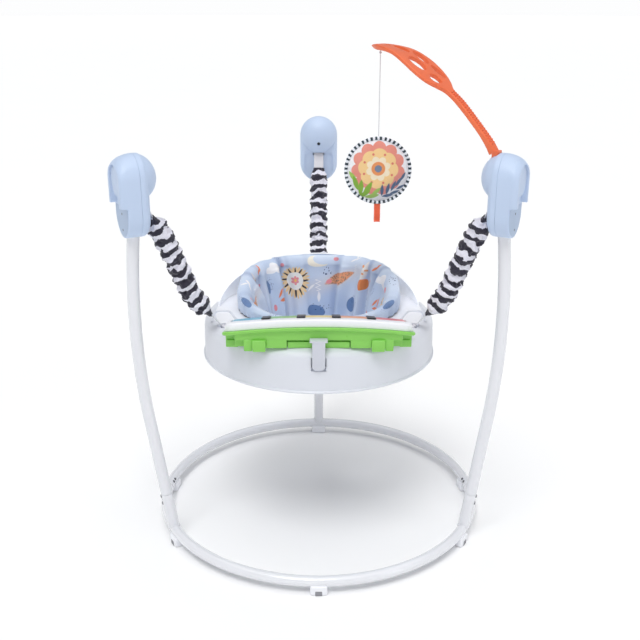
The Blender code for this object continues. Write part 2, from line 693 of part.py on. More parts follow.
def build_suspension():
    hole_in = 0.005
    eye = rod((-STRAP_WIDTH / 2, PIN_REACH, PIN_HEIGHT), (STRAP_WIDTH / 2, PIN_REACH, PIN_HEIGHT),
              PIN_RADIUS + GAP + WEB_THICK, 10)
    eye_hole = rod((-0.03, PIN_REACH, PIN_HEIGHT), (0.03, PIN_REACH, PIN_HEIGHT),
                   PIN_RADIUS + GAP, 10)
    hook_hole = 0.0034

    def hole_at(distance):
        place, along, off = route_frame(distance)
        return rod(place - off * 0.006, place + off * 0.006, hook_hole, 8)

    strap = shaped("strap", web(0.004, STRAP_END, STRAP_WIDTH, 8),
                   [eye_hole, hole_at(STRAP_END - hole_in)], [eye])

    link_start = ROUTE_LENGTH - LINK_START_LEFT
    pin_place, along, off = route_frame(ROUTE_LENGTH)
    across = Vector((LINK_WIDTH / 2, 0, 0))
    link_eye = rod(pin_place - across, pin_place + across, PIN_RADIUS + GAP + WEB_THICK, 10)
    link_hole = rod(pin_place - across * 2, pin_place + across * 2, PIN_RADIUS + GAP, 10)
    link = shaped("link", web(link_start, ROUTE_LENGTH - 0.004, LINK_WIDTH, 6),
                  [link_hole, hole_at(link_start + hole_in)], [link_eye])
    span = Vector((0.017, 0, 0))
    link_pin = rod(pin_place - span, pin_place + span, PIN_RADIUS, 10)

    slack = hook_hole * 0.92 - COIL_WIRE - 0.0008
    first = STRAP_END - hole_in + slack + HOOK_RADIUS
    last = link_start + hole_in - slack - HOOK_RADIUS
    wire = []
    hook_angles = [radians(45 + 33.75 * step) for step in range(10)]
    for angle in hook_angles:
        place, along, off = route_frame(first)
        wire.append(place + HOOK_RADIUS * (along * cos(angle) + off * sin(angle)))
    coil_start, coil_end = first + HOOK_RADIUS + 0.006, last - HOOK_RADIUS - 0.006
    steps = COIL_TURNS * 7
    for step in range(steps + 1):
        share = step / steps
        place, along, off = route_frame(coil_start + (coil_end - coil_start) * share)
        grow = min(1.0, step / 6, (steps - step) / 6)
        angle = 2 * pi * COIL_TURNS * share
        wire.append(place + COIL_RADIUS * max(grow, 0.35)
                    * (Vector((1, 0, 0)) * sin(angle) + off * cos(angle)))
    for angle in reversed(hook_angles):
        place, along, off = route_frame(last)
        wire.append(place + HOOK_RADIUS * (-along * cos(angle) + off * sin(angle)))
    spring = swept(wire, COIL_WIRE, detail=0)
    coil = wire[10:10 + steps + 1]
    least = min((coil[i] - coil[j]).length for i in range(len(coil))
                for j in range(i + 4, len(coil)))
    print("spring: least gap to itself %.2f mm" % ((least - 2 * COIL_WIRE) * 1000))

    start, end = SLEEVE_START, ROUTE_LENGTH - SLEEVE_END_LEFT
    count = SLEEVE_GATHERS * 2
    places_in, shares, bore_shares = [], [], []
    for step in range(count + 1):
        share = step / count
        place, along, off = route_frame(start + (end - start) * share)
        swell = SLEEVE_HIGH if step % 2 else SLEEVE_LOW
        if step in (0, count):
            swell = (SLEEVE_TAIL if step else SLEEVE_NECK) + 0.002
        places_in.append(place)
        shares.append(swell / SLEEVE_HIGH)
    sleeve = swept(places_in, SLEEVE_HIGH, shares, detail=4)
    bore_places, bore_shares = [], []
    for distance, bore in ((start - 0.004, SLEEVE_NECK), (start + 0.012, SLEEVE_NECK),
                           (start + 0.018, SLEEVE_BORE)):
        bore_places.append(route_at(distance)[0])
        bore_shares.append(bore / SLEEVE_BORE)
    inner_steps = 7
    for step in range(1, inner_steps):
        distance = start + 0.018 + (end - start - 0.036) * step / inner_steps
        bore_places.append(route_at(distance)[0])
        bore_shares.append(1.0)
    for distance, bore in ((end - 0.018, SLEEVE_BORE), (end - 0.012, SLEEVE_TAIL),
                           (end + 0.004, SLEEVE_TAIL)):
        bore_places.append(route_at(distance)[0])
        bore_shares.append(bore / SLEEVE_BORE)
    sleeve = shaped("sleeve", sleeve, [swept(bore_places, SLEEVE_BORE, bore_shares)])

    for side, tower in towers.items():
        add("strap_" + side, strap, WEBBING, tower)
        add("spring_" + side, spring, STEEL, tower, 60)
        add("sleeve_" + side, sleeve, ZEBRA_CLOTH, tower, 60)
        add("link_" + side, link, WEBBING, tower)
        add("link_pin_" + side, turned_to(link_pin, side), STEEL, bounce)


def tray_profile(inset=0.0):
    """Outer line of the tray from the bottom rim up to the deck, moved inwards."""
    return [(TRAY_RIM_RADIUS - inset, TRAY_LOW), (TRAY_RIM_RADIUS - inset, TRAY_LOW + 0.004),
            (TRAY_RADIUS + 0.0007 - inset, TRAY_LOW + 0.007), (TRAY_RADIUS - inset, DECK - 0.026),
            (TRAY_RADIUS - 0.0018 - inset, DECK - 0.016 - inset * 0.4),
            (TRAY_RADIUS - 0.0065 - inset * 0.7, DECK - 0.0085 - inset * 0.7),
            (TRAY_RADIUS - 0.0135 - inset * 0.4, DECK - 0.0035 - inset),
            (SLOT_RADIUS, DECK - inset)]


def oval(angle, half_x, half_y):
    """Point on the seat's oval, squarer than an ellipse, in the tray's plane."""
    share = 2 / OVAL_POWER
    c, s = cos(angle), sin(angle)
    return (half_x * abs(c) ** share * (1 if c > 0 else -1),
            SEAT_Y + half_y * abs(s) ** share * (1 if s > 0 else -1))


def build_tray():
    outer = tray_profile() + [(OPENING_Y * 0.6, DECK)]
    inner = tray_profile(TRAY_WALL)
    under = inner[:1] + inner[3:] + [(OPENING_Y * 0.6, DECK - TRAY_WALL)]
    blank = turned(outer + under[::-1], TRAY_STEPS, closed=True)
    outline = [oval(2 * pi * step / SEAT_STEPS, OPENING_X, OPENING_Y)
               for step in range(SEAT_STEPS)]
    opening = prism(outline, DECK - 0.02, DECK + 0.02)
    ears = []
    slot_half = LATCH_WIDTH / 2 + 0.0025
    for side in (-1, 1):
        near, far = sorted((side * (slot_half + 0.0013), side * (slot_half + 0.0061)))
        ears.append(box((near, 0.002 - TRAY_RADIUS, LATCH_PIVOT[1] - 0.006),
                        (far, LATCH_PIVOT[0] + 0.005, LATCH_PIVOT[1] + 0.006)))
    latch_slot = box((-slot_half, -TRAY_RADIUS - 0.006, LATCH_PIVOT[1] - 0.0055),
                     (slot_half, LATCH_PIVOT[0] - 0.0035, LATCH_PIVOT[1] + 0.0225))
    reach = slot_half + 0.0037
    ear_bore = rod((-reach, *LATCH_PIVOT), (reach, *LATCH_PIVOT), 0.0020 + GAP, 10)
    slots = []
    for side in TOWERS:
        slot = box((-LINK_WIDTH / 2 - 0.0035, SLOT_RADIUS - 0.0128, DECK - 0.01),
                   (LINK_WIDTH / 2 + 0.0035, SLOT_RADIUS + 0.0058, DECK + 0.01))
        slots.append(turned_to(slot, side))
    mesh = shaped("tray_shell", blank, [opening, latch_slot, ear_bore] + slots, ears)
    add("tray_shell", mesh, WHITE_PLASTIC, bounce)

    # The high back: a wall round the rear of the deck that falls away to its ends
    outline = ((0.0, 0.0), (BACK_WALL, 0.0), (BACK_WALL, 0.95), (BACK_WALL * 0.7, 1.0),
               (BACK_WALL * 0.3, 1.0), (0.0, 0.95))
    sections = []
    back_steps = 24
    for step in range(back_steps + 1):
        turn = BACK_SPAN * (2 * step / back_steps - 1)
        rise = BACK_RISE * cos(radians(turn)) ** 0.8
        section = []
        for offset, share in outline:
            reach = BACK_RADIUS - BACK_WALL + offset - BACK_LEAN * share * rise / BACK_RISE
            place = on_ring(90 - turn, reach, DECK + GAP + rise * share)
            section.append(place)
        sections.append(section)
    back = loft(sections)
    rear_slot = box((-LINK_WIDTH / 2 - 0.0035, SLOT_RADIUS - 0.0068, DECK - 0.01),
                    (LINK_WIDTH / 2 + 0.0035, SLOT_RADIUS + 0.03, DECK + 0.03))
    add("back_shell", shaped("back_shell", back, [rear_slot]), WHITE_PLASTIC, bounce)


def ring_top(y):
    share = (y - SEAT_Y + OPENING_Y + RING_LAND) / (2 * (OPENING_Y + RING_LAND))
    return RING_FRONT + RING_RISE * (1 - (1 - min(max(share, 0.0), 1.0)) ** 1.3)


def build_seat():
    half_x = OPENING_X + RING_LAND
    half_y = OPENING_Y + RING_LAND
    wall, bead = RING_WALL / 2, RING_WALL / 2 + 0.003
    sections = []
    for step in range(SEAT_STEPS):
        angle = 2 * pi * step / SEAT_STEPS
        top = ring_top(oval(angle, half_x, half_y)[1])
        section = []
        for off, z in ((wall, DECK + GAP), (wall, top - 0.010), (bead, top - 0.007),
                       (bead, top - 0.002), (0.0, top), (-bead, top - 0.002),
                       (-bead, top - 0.007), (-wall, top - 0.010), (-wall, DECK + GAP)):
            section.append((*oval(angle, half_x + off, half_y + off), z))
        sections.append(section)
    add("seat_ring", loft(sections + [sections[0]], closed_ends=False), WHITE_PLASTIC, bounce)

    # The sling: a collar over the ring, then a pouch with two leg holes
    collar = ((bead + 0.0017, -0.011), (bead + 0.0017, -0.002), (bead - 0.0004, 0.0016),
              (-bead + 0.0004, 0.0016), (-bead - 0.0017, -0.002))
    pouch = [(OPENING_X * reach, SLING_LOW + SLING_DEPTH * rise, ripple)
             for reach, rise, ripple in ((0.963, 0.996, 0.0), (0.931, 0.833, 0.0015),
                                         (0.85, 0.624, 0.003), (0.725, 0.414, 0.004),
                                         (0.513, 0.194, 0.003), (0.313, 0.063, 0.0015),
                                         (0.125, 0.010, 0.0))]
    folds = 9
    rings = []
    for off, rise in collar:
        ring = []
        for step in range(SEAT_STEPS):
            angle = 2 * pi * step / SEAT_STEPS
            top = ring_top(oval(angle, half_x, half_y)[1])
            ring.append((*oval(angle, half_x + off, half_y + off), top + rise))
        rings.append(ring)
    for reach, height, ripple in pouch:
        ring = []
        for step in range(SEAT_STEPS):
            angle = 2 * pi * step / SEAT_STEPS
            depth = reach * OPENING_Y / OPENING_X
            wave = 1 - ripple / reach * (1 - cos(folds * angle))
            x, y = oval(angle, reach * wave, depth * wave)
            ring.append((x, y - SEAT_Y * (1 - height / DECK), height))
        rings.append(ring)
    sheet = loft(rings, closed_ends=False)
    bm = bmesh.new()
    bm.from_mesh(sheet)
    low_rim = [e for e in bm.edges if e.is_boundary and e.verts[0].co.z < DECK - 0.1]
    bmesh.ops.holes_fill(bm, edges=low_rim, sides=SEAT_STEPS)
    bmesh.ops.recalc_face_normals(bm, faces=bm.faces)
    sheet = bpy.data.meshes.new("seat_fabric")
    bm.to_mesh(sheet)
    bm.free()
    fabric = add("seat_fabric", sheet, SEAT_CLOTH, bounce, 60)
    thick = fabric.modifiers.new("cloth_thickness", "SOLIDIFY")
    thick.thickness = CLOTH
    thick.offset = 0.0
    for side in (-1, 1):
        start = Vector((side * OPENING_X * 0.344, SEAT_Y - 0.010,
                        SLING_LOW + SLING_DEPTH * 0.31))
        out = Vector((side * 0.55, -1.0, -0.32)).normalized()
        hole = rod(start, start + out * 0.16, LEG_HOLE, 16, LEG_HOLE * 1.05)
        boolean(fabric, hole)


def piano_drop(x, y):
    """How far the piano's crowned and tilted top lies below its front middle."""
    return PIANO_CROWN * (x / PIANO_HALF) ** 2 + PIANO_TILT * (y - BASE_FRONT)


def piano_form(mesh, above=0.0, slices=8):
    """Bends a flat-built piano piece to the crowned and tilted top."""
    bm = bmesh.new()
    bm.from_mesh(mesh)
    xs = [v.co.x for v in bm.verts]
    for step in range(1, slices):
        x = PIANO_HALF * (2 * step / slices - 1)
        if min(xs) + 0.002 < x < max(xs) - 0.002:
            bmesh.ops.bisect_plane(bm, geom=bm.verts[:] + bm.edges[:] + bm.faces[:],
                                   plane_co=(x, 0, 0), plane_no=(1, 0, 0), dist=1e-5)
    for vert in bm.verts:
        if vert.co.z > above:
            vert.co.z -= piano_drop(vert.co.x, vert.co.y)
    bmesh.ops.triangulate(bm, faces=[f for f in bm.faces if len(f.verts) > 4])
    bm.to_mesh(mesh)
    bm.free()
    return mesh


def build_piano():
    battery_row = (BASE_FRONT + PIANO_BACK) / 2 + 0.0015
    wall_top = LIP_LOW + 0.002
    floor = DECK + GAP
    upper = floor + CASE_HEIGHT * 0.42
    lip = prism(rounded((-PIANO_HALF, PIANO_FRONT), (PIANO_HALF, PIANO_BACK), 0.016),
                LIP_LOW, LIP_HIGH, bevel_low=0.0012, bevel_high=0.0012, segments=1)
    joins = [box((-BASE_HALF, BASE_FRONT, upper), (BASE_HALF, BASE_FRONT + 0.030, wall_top)),
             box((-BASE_HALF, BASE_FRONT + 0.011, floor),
                 (BASE_HALF, PIANO_BACK - 0.008, wall_top))]
    for side in (-1, 1):
        for near, far, out in ((0.63, 0.79, 0.003), (0.38, 0.63, -0.004), (0.79, 0.893, -0.003)):
            low, high = sorted((side * near * BASE_HALF, side * far * BASE_HALF))
            joins.append(box((low, BASE_FRONT - out, floor),
                             (high, BASE_FRONT + 0.014, upper + 0.002)))
        low, high = sorted((side * (BASE_HALF - 0.002), side * (BASE_HALF + 0.019)))
        joins.append(box((low, BASE_FRONT + 0.044, DECK - 0.0208),
                         (high, BASE_FRONT + 0.082, wall_top)))
    tray_room = turned([(0.0, TRAY_LOW)] + [(r + GAP, z + GAP * 0.7) for r, z in tray_profile()[3:]]
                       + [(0.0, DECK + GAP * 0.7)], TRAY_STEPS)
    pocket = box((0.011 - BASE_HALF, BASE_FRONT + 0.0145, floor + CASE_WALL),
                 (BASE_HALF - 0.011, PIANO_BACK - 0.0125, COVER_HIGH + 0.05))
    hatch_half = BATTERY_LENGTH * 0.9
    hatch_near, hatch_far = battery_row - BATTERY_RADIUS * 4, battery_row + BATTERY_RADIUS * 4
    hatch = box((-hatch_half, hatch_near, floor - 0.002),
                (hatch_half, hatch_far, floor + CASE_WALL + 0.0015))
    sound_x, sound_y = BASE_HALF * 0.70, battery_row - 0.005
    switch_x, switch_y = BASE_HALF * 0.48, battery_row - 0.008
    switch_slot = box((switch_x - 0.011, switch_y - 0.004, floor - 0.002),
                      (switch_x + 0.011, switch_y + 0.004, floor + CASE_WALL + 0.0015))
    sound_holes = [rod((sound_x + 0.009 * cos(a), sound_y + 0.009 * sin(a), floor - 0.002),
                       (sound_x + 0.009 * cos(a), sound_y + 0.009 * sin(a), floor + 0.006),
                       0.002, 8) for a in (0, pi / 2, pi, 3 * pi / 2)]
    base = shaped("station_base", lip,
                  [tray_room, pocket, hatch, switch_slot] + sound_holes, joins)
    add("station_base", piano_form(base, upper + 0.010), GREEN_PLASTIC, lift)

    inside = 0.0025
    cover = prism(rounded((0.0055 - PIANO_HALF, PIANO_FRONT + 0.0055),
                          (PIANO_HALF - 0.0055, PIANO_BACK - 0.003), 0.018),
                  LIP_HIGH + GAP, COVER_HIGH, bevel_high=0.005)
    keybed = box((-KEYBED_HALF, KEY_REAR - 0.0005, KEYBED),
                 (KEYBED_HALF, PIANO_BACK + 0.03, COVER_HIGH + 0.02))
    under_bed = box((0.008 - KEYBED_HALF, KEY_REAR - 0.004, LIP_HIGH - 0.01),
                    (KEYBED_HALF - 0.008, PIANO_BACK - 0.0065, KEYBED - inside))
    under_front = box((0.008 - KEYBED_HALF, PIANO_FRONT + 0.0115, LIP_HIGH - 0.01),
                      (KEYBED_HALF - 0.008, KEY_REAR - 0.0035, COVER_HIGH - inside))
    boundaries = [share * KEY_PITCH for share in (-1.5, -0.5, 0.5, 1.5)]
    post_near, post_far = KEY_REAR - 0.0125, KEY_REAR - 0.0070
    posts = [box((x - 0.0060 - GAP, post_near - GAP, COVER_HIGH - 0.01),
                 (x + 0.0060 + GAP, post_far + GAP, COVER_HIGH + 0.01)) for x in boundaries]
    cover = shaped("station_cover", cover, [keybed, under_bed, under_front] + posts)
    add("station_cover", piano_form(cover), WHITE_PLASTIC, lift)

    board_top = KEYBED - inside - GAP
    board = box((0.030 - KEYBED_HALF, KEY_REAR + 0.0025, board_top - 0.0016),
                (KEYBED_HALF - 0.030, PIANO_BACK - 0.013, board_top))
    add("circuit_board", piano_form(board), BOARD_GREEN, lift)

    strip = box((-1.75 * KEY_PITCH, post_near - 0.001, COVER_HIGH - inside - GAP - 0.0022),
                (1.75 * KEY_PITCH, post_far + 0.001, COVER_HIGH - inside - GAP))
    sharps = []
    for x in boundaries:
        sharps.append(box((x - 0.0060, post_near, COVER_HIGH - inside - 0.0015),
                          (x + 0.0060, post_far, COVER_HIGH + 0.0012)))
        sharps.append(box((x - 0.009, post_near - 0.002, COVER_HIGH + GAP),
                          (x + 0.009, KEY_FREE - 0.022, COVER_HIGH + GAP + 0.0032), 0.0010))
    black = shaped("black_keys", strip, joins=sharps)
    add("black_keys", piano_form(black), BLACK_PLASTIC, lift)

    for index, (name, finish) in enumerate(KEY_COLOURS.items()):
        x = (index - 2) * KEY_PITCH
        half = KEY_PITCH / 2 - KEY_GAP / 2
        drop = piano_drop(x, KEY_REAR)
        pivot = (x, KEY_REAR + 0.0025, KEY_TOP - 0.003 - drop)
        hinge = carrier("key_axis_" + name, pivot, lift)
        key = box((x - half, KEY_REAR, KEY_TOP - KEY_THICK), (x + half, KEY_FREE, KEY_TOP),
                  0.0015)
        add("key_" + name, piano_form(key), finish, hinge)

    door = box((GAP - hatch_half, hatch_near + GAP, floor),
               (hatch_half - GAP, hatch_far - GAP, floor + CASE_WALL - GAP))
    add("battery_door", door, GREEN_PLASTIC, lift)
    for name, across in (("left", -1), ("right", 1)):
        y = battery_row + across * (BATTERY_RADIUS + 0.0006)
        z = floor + CASE_WALL + BATTERY_RADIUS
        add("battery_" + name, rod((-BATTERY_LENGTH / 2, y, z), (BATTERY_LENGTH / 2, y, z),
                                   BATTERY_RADIUS, 12), STEEL, lift)
    speaker = turned([(0, 0), (0.0150, 0), (0.0150, 0.003), (0.0080, 0.007), (0.0080, 0.011),
                      (0, 0.011)], 16)
    speaker.transform(Matrix.Translation((sound_x, sound_y, floor + CASE_WALL + GAP)))
    add("speaker", speaker, BLACK_PLASTIC, lift)

    slide = carrier("switch_axis", (switch_x, switch_y, floor), lift)
    knob = shaped("power_switch",
                  box((switch_x - 0.0085, switch_y - 0.0035, floor - 0.0001),
                      (switch_x + 0.0005, switch_y + 0.0035, floor + CASE_WALL + 0.0005)),
                  joins=[box((switch_x - 0.0115, switch_y - 0.0070, floor + CASE_WALL + GAP),
                             (switch_x + 0.0035, switch_y + 0.0070, floor + CASE_WALL + 0.0023))])
    add("power_switch", knob, BLACK_PLASTIC, slide)


def build_latch():
    back, pivot_z = LATCH_PIVOT
    face = -TRAY_RADIUS - 0.002 - LATCH_THICK
    half = LATCH_WIDTH / 2
    blade = slab(blade_outline(half), face, face + LATCH_THICK)
    head = box((-half - 0.005, face, LATCH_TOP - 0.0026),
               (half + 0.005, BASE_FRONT - 0.0008, LATCH_TOP), 0.0008)
    neck = box((0.003 - half, face + 0.001, pivot_z - 0.0018),
               (half - 0.003, back, pivot_z + 0.0018))
    barrel = rod((-half - 0.003, back, pivot_z), (half + 0.003, back, pivot_z), 0.0032, 12)
    trunnion = rod((-half - 0.0058, back, pivot_z), (half + 0.0058, back, pivot_z), 0.0020, 10)
    mesh = shaped("latch", blade, joins=[head, neck, barrel, trunnion])
    axis = carrier("latch_axis", (0, back, pivot_z), bounce)
    add("latch", mesh, GREY_PLASTIC, axis)


def blade_outline(half):
    """The latch's flat strap: a round foot and straight sides."""
    low = LATCH_PIVOT[1] - 0.0025
    foot = [(half * cos(pi + pi * s / 8), low + 0.006 + 0.006 * sin(pi + pi * s / 8))
            for s in range(9)]
    return foot + [(half, LATCH_TOP - 0.001), (-half, LATCH_TOP - 0.001)]


def bar_section(distance):
    """Outer height, slope, width and thickness of the toy bar at a distance."""
    rows = BAR_SECTIONS
    for index in range(1, len(rows) - 1):
        if rows[index][0] >= distance:
            break
    else:
        index = len(rows) - 1
    a, b = rows[index - 1], rows[index]
    share = (distance - a[0]) / (b[0] - a[0])
    before = rows[max(index - 2, 0)]
    after = rows[min(index + 1, len(rows) - 1)]

    def smooth(k):
        run = b[0] - a[0]
        lead = (b[k] - before[k]) / (b[0] - before[0]) * run
        trail = (after[k] - a[k]) / (after[0] - a[0]) * run
        t = share
        return (a[k] * (1 + 2 * t) * (1 - t) ** 2 + lead * t * (1 - t) ** 2
                + b[k] * t * t * (3 - 2 * t) + trail * t * t * (t - 1))

    return HEAD_HIGH + smooth(1), smooth(2), smooth(3)


def bar_frame(distance):
    """Place on the outer face, direction, sideways and outward vectors."""
    step = 0.001
    high = bar_section(distance)[0]
    slope = (bar_section(min(distance + step, 0.2919))[0]
             - bar_section(max(distance - step, 0.0))[0])
    run = min(distance + step, 0.2919) - max(distance - step, 0.0)
    heading = Vector((*BAR_HEADING, 0))
    place = Vector((*BAR_BASE, 0)) + heading * distance
    place.z = high
    along = (heading * run + Vector((0, 0, slope))).normalized()
    side = Vector((-heading.y, heading.x, 0)) * -1
    return place, along, side, side.cross(along).normalized()


def build_toy():
    stations = [BAR_SECTIONS[0][0] + (BAR_SECTIONS[-1][0] - BAR_SECTIONS[0][0]) * s / 22
                for s in range(23)]
    chamfer = 0.0014
    sections = []
    for distance in stations:
        place, along, side, out = bar_frame(distance)
        width, thick = bar_section(distance)[1:]
        cut = min(chamfer, width * 0.2)
        half = width / 2
        section = []
        for across, down in ((-half, cut), (-half + cut, 0), (half - cut, 0), (half, cut),
                             (half, thick - cut), (half - cut, thick), (-half + cut, thick),
                             (-half, thick - cut)):
            section.append(place + side * across - out * down)
        sections.append(section)
    openings = []
    for distance, across, half_long, half_wide, turn in BAR_OPENINGS:
        place, along, side, out = bar_frame(distance)
        turn = radians(turn)
        long_way = along * cos(turn) + side * sin(turn)
        wide_way = side * cos(turn) - along * sin(turn)
        frame = Matrix((long_way * half_long, wide_way * half_wide, out)).transposed().to_4x4()
        tool = rod((0, 0, -0.03), (0, 0, 0.03), 1.0, 12)
        tool.transform(Matrix.Translation(place + side * across) @ frame)
        openings.append(outward(tool))
    bar = shaped("toy_bar", loft(sections), openings, [plug_mesh()])
    pull = carrier("toy_bar_axis", (*BAR_BASE, HEAD_HIGH), stand)
    add("toy_bar", bar, ORANGE_PLASTIC, pull)

    heading = Vector((*BAR_HEADING, 0))
    hang = Vector((*BAR_BASE, 0)) + heading * STRING_AT
    high, width, thick = bar_section(STRING_AT)
    knot_z = high - thick - KNOT_RADIUS - GAP - 0.0022
    knot_place = Vector((hang.x, hang.y, knot_z))
    knot_axis = carrier("toy_sway_axis", knot_place, pull)
    bm = bmesh.new()
    bmesh.ops.create_uvsphere(bm, u_segments=8, v_segments=6, radius=KNOT_RADIUS)
    bmesh.ops.translate(bm, vec=knot_place, verts=bm.verts)
    neck = rod(knot_place, knot_place + Vector((0, 0, KNOT_RADIUS + 0.0021)), 0.0013, 6)
    add("string_knot", shaped("string_knot", finished(bm, "knot"), joins=[neck]),
        STRING_FIBRE, knot_axis)
    swing_axis = carrier("toy_swing_axis", knot_place, knot_axis)
    string_top = knot_z - KNOT_RADIUS - GAP
    toy_top = string_top - STRING_LENGTH
    toy_centre = toy_top - GAP - TOY_RADIUS
    string = [Vector((hang.x, hang.y, string_top + (toy_top - string_top) * s / 4))
              for s in range(5)]
    add("toy_string", swept(string, STRING_RADIUS, detail=1), STRING_FIBRE, swing_axis)

    spin_axis = carrier("toy_spin_axis", (hang.x, hang.y, toy_centre), swing_axis)
    centre = (hang.x, hang.y, toy_centre)
    crown = [(TOY_PAD * r, TOY_THICK * y) for r, y in ((0, 0.5), (0.46, 0.47), (0.77, 0.354),
                                                       (0.94, 0.185))]
    pad = [(r, -y) for r, y in crown] + [(TOY_PAD, 0.0)] + crown[::-1]
    add("toy_disc", facing_back(turned(pad, 20), centre), TOY_CLOTH, spin_axis, 60)
    inner = TOY_PAD + GAP + 0.0002
    band = [(inner, -0.0042), (TOY_RADIUS - 0.0015, -0.0035), (TOY_RADIUS, 0.0),
            (TOY_RADIUS - 0.0015, 0.0035), (inner, 0.0042)]
    add("toy_border", facing_back(turned(band, 28, closed=True), centre), BORDER_CLOTH,
        spin_axis, 60)
    ribbon_top = toy_centre - TOY_RADIUS - GAP
    add("ribbon_tab", box((hang.x - 0.007, hang.y - 0.0009, ribbon_top - RIBBON_LENGTH),
                          (hang.x + 0.007, hang.y + 0.0009, ribbon_top)),
        RIBBON_CLOTH, spin_axis)


build_base()
build_uprights()
build_heads()
build_suspension()
build_tray()
build_seat()
build_piano()
build_latch()
build_toy()
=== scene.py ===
import bmesh
import bpy
from math import atan2, cos, exp, pi, radians, sin, sqrt
from mathutils import Matrix, Vector, noise


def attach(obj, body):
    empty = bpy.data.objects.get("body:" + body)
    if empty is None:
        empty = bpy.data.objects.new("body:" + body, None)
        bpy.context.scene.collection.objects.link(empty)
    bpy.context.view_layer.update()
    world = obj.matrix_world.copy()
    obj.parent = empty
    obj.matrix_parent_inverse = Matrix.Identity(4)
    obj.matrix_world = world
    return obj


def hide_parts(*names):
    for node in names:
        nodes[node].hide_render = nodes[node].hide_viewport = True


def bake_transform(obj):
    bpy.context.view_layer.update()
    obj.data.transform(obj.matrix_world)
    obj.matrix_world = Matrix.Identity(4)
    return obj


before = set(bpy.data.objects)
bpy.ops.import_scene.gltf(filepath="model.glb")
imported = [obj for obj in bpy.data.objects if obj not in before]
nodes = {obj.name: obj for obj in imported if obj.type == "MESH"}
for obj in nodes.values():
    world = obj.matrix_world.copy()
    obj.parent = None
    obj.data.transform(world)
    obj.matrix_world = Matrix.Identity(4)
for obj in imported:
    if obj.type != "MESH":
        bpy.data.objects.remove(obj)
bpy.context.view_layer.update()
scene = bpy.context.scene

# middle of the floor ring, and where the three towers stand round it
ringMiddle = Vector((0, -0.03156, 0))
towerAngles = {"left": 207.0, "right": -27.0, "rear": 90.0}
sides = list(towerAngles)
asIs = Matrix.Identity(4)


def rgb(red, green, blue):
    # photo value 0-255 to a linear colour
    return tuple(((c / 255 + 0.055) / 1.055) ** 2.4 if c > 10 else c / 3294
                 for c in (red, green, blue)) + (1.0,)


def worked(operation, swap=False):
    # a Math node as an operator
    return lambda self, other=None: self.sum(operation, other, swap)


class Wire:
    # one output of a node, with arithmetic
    def __init__(self, finish, socket):
        self.finish = finish
        self.socket = socket

    def sum(self, operation, other=None, swap=False):
        pair = (other, self) if swap else (self, other)
        values = {0: self} if other is None else {0: pair[0], 1: pair[1]}
        return self.finish.node("Math", {"operation": operation}, values)

    def sine(self):
        return self.sum("SINE")

    __add__ = __radd__ = worked("ADD")
    __sub__ = worked("SUBTRACT")
    __rsub__ = worked("SUBTRACT", True)
    __mul__ = __rmul__ = worked("MULTIPLY")
    __truediv__ = worked("DIVIDE")
    __lt__ = worked("LESS_THAN")
    __gt__ = worked("GREATER_THAN")
    __abs__ = worked("ABSOLUTE")


class Finish:
    # a material whose nodes are made one by one and fed to the shader
    def __init__(self, name, **constants):
        self.material = bpy.data.materials.new(name)
        self.material.use_nodes = True
        self.tree = self.material.node_tree
        self.shader = self.tree.nodes["Principled BSDF"]
        for socket, value in constants.items():
            self.shader.inputs[socket.replace("_", " ")].default_value = value

    def node(self, kind, settings, values, out=0):
        made = self.tree.nodes.new("ShaderNode" + kind)
        for key, value in settings.items():
            setattr(made, key, value)
        for key, value in values.items():
            if isinstance(value, Wire):
                self.tree.links.new(value.socket, made.inputs[key])
            else:
                made.inputs[key].default_value = value
        return Wire(self, made.outputs[out])

    def where(self, kind="Object"):
        return self.node("TexCoord", {}, {}, kind)

    def parts(self, place):
        made = self.node("SeparateXYZ", {}, {0: place}).socket.node
        return [Wire(self, socket) for socket in made.outputs]

    def moved(self, place, x, y, turn=0.0, wide=1, high=1):
        return self.node("Mapping", {"vector_type": "TEXTURE"},
                         {"Vector": place, "Location": (x, y, 0), "Rotation": (0, 0, turn),
                          "Scale": (wide, high, 1)})

    def vector(self, operation, first, second=(0, 0, 0), out="Vector"):
        return self.node("VectorMath", {"operation": operation}, {0: first, 1: second}, out)

    def cloud(self, place, scale, detail=2.0, rough=0.5, out="Fac"):
        return self.node("TexNoise", {}, {"Vector": place, "Scale": scale, "Detail": detail,
                                          "Roughness": rough}, out)

    def cells(self, place, scale):
        return self.node("TexVoronoi", {}, {"Vector": place, "Scale": scale}, "Distance")

    def ease(self, value, low, high):
        return self.node("MapRange", {"interpolation_type": "SMOOTHSTEP"},
                         {"Value": value, "From Min": low, "From Max": high})

    def mix(self, share, first, second, kind="MIX"):
        return self.node("Mix", {"data_type": "RGBA", "blend_type": kind},
                         {0: share, 6: first, 7: second}, 2)

    def layered(self, colour, marks):
        for mask, paint in marks:
            colour = self.mix(mask, colour, paint)
        return colour

    def feed(self, **sockets):
        for name, value in sockets.items():
            self.tree.links.new(value.socket, self.shader.inputs[name.replace("_", " ")])

    def done(self, colour, height, depth, **sockets):
        bump = self.node("Bump", {}, {"Height": height, "Distance": depth, "Strength": 1.0},
                         "Normal")
        self.feed(Base_Color=colour, Normal=bump, **sockets)
        return self.material


def shade(colour, amount):
    return tuple(min(1.0, c * amount) for c in colour[:3]) + (1.0,)


def clouded(name, colours, cloud, sheen, skin, **constants):
    # a colour and a sheen that wander, and a fine skin
    finish = Finish(name, **constants)
    place = finish.where()
    colour = finish.mix(finish.cloud(place, *cloud), *colours)
    rough = finish.cloud(place, sheen[0], 3) * sheen[1] + sheen[2]
    return finish.done(colour, finish.cloud(place, skin[0], 2), skin[1], Roughness=rough)


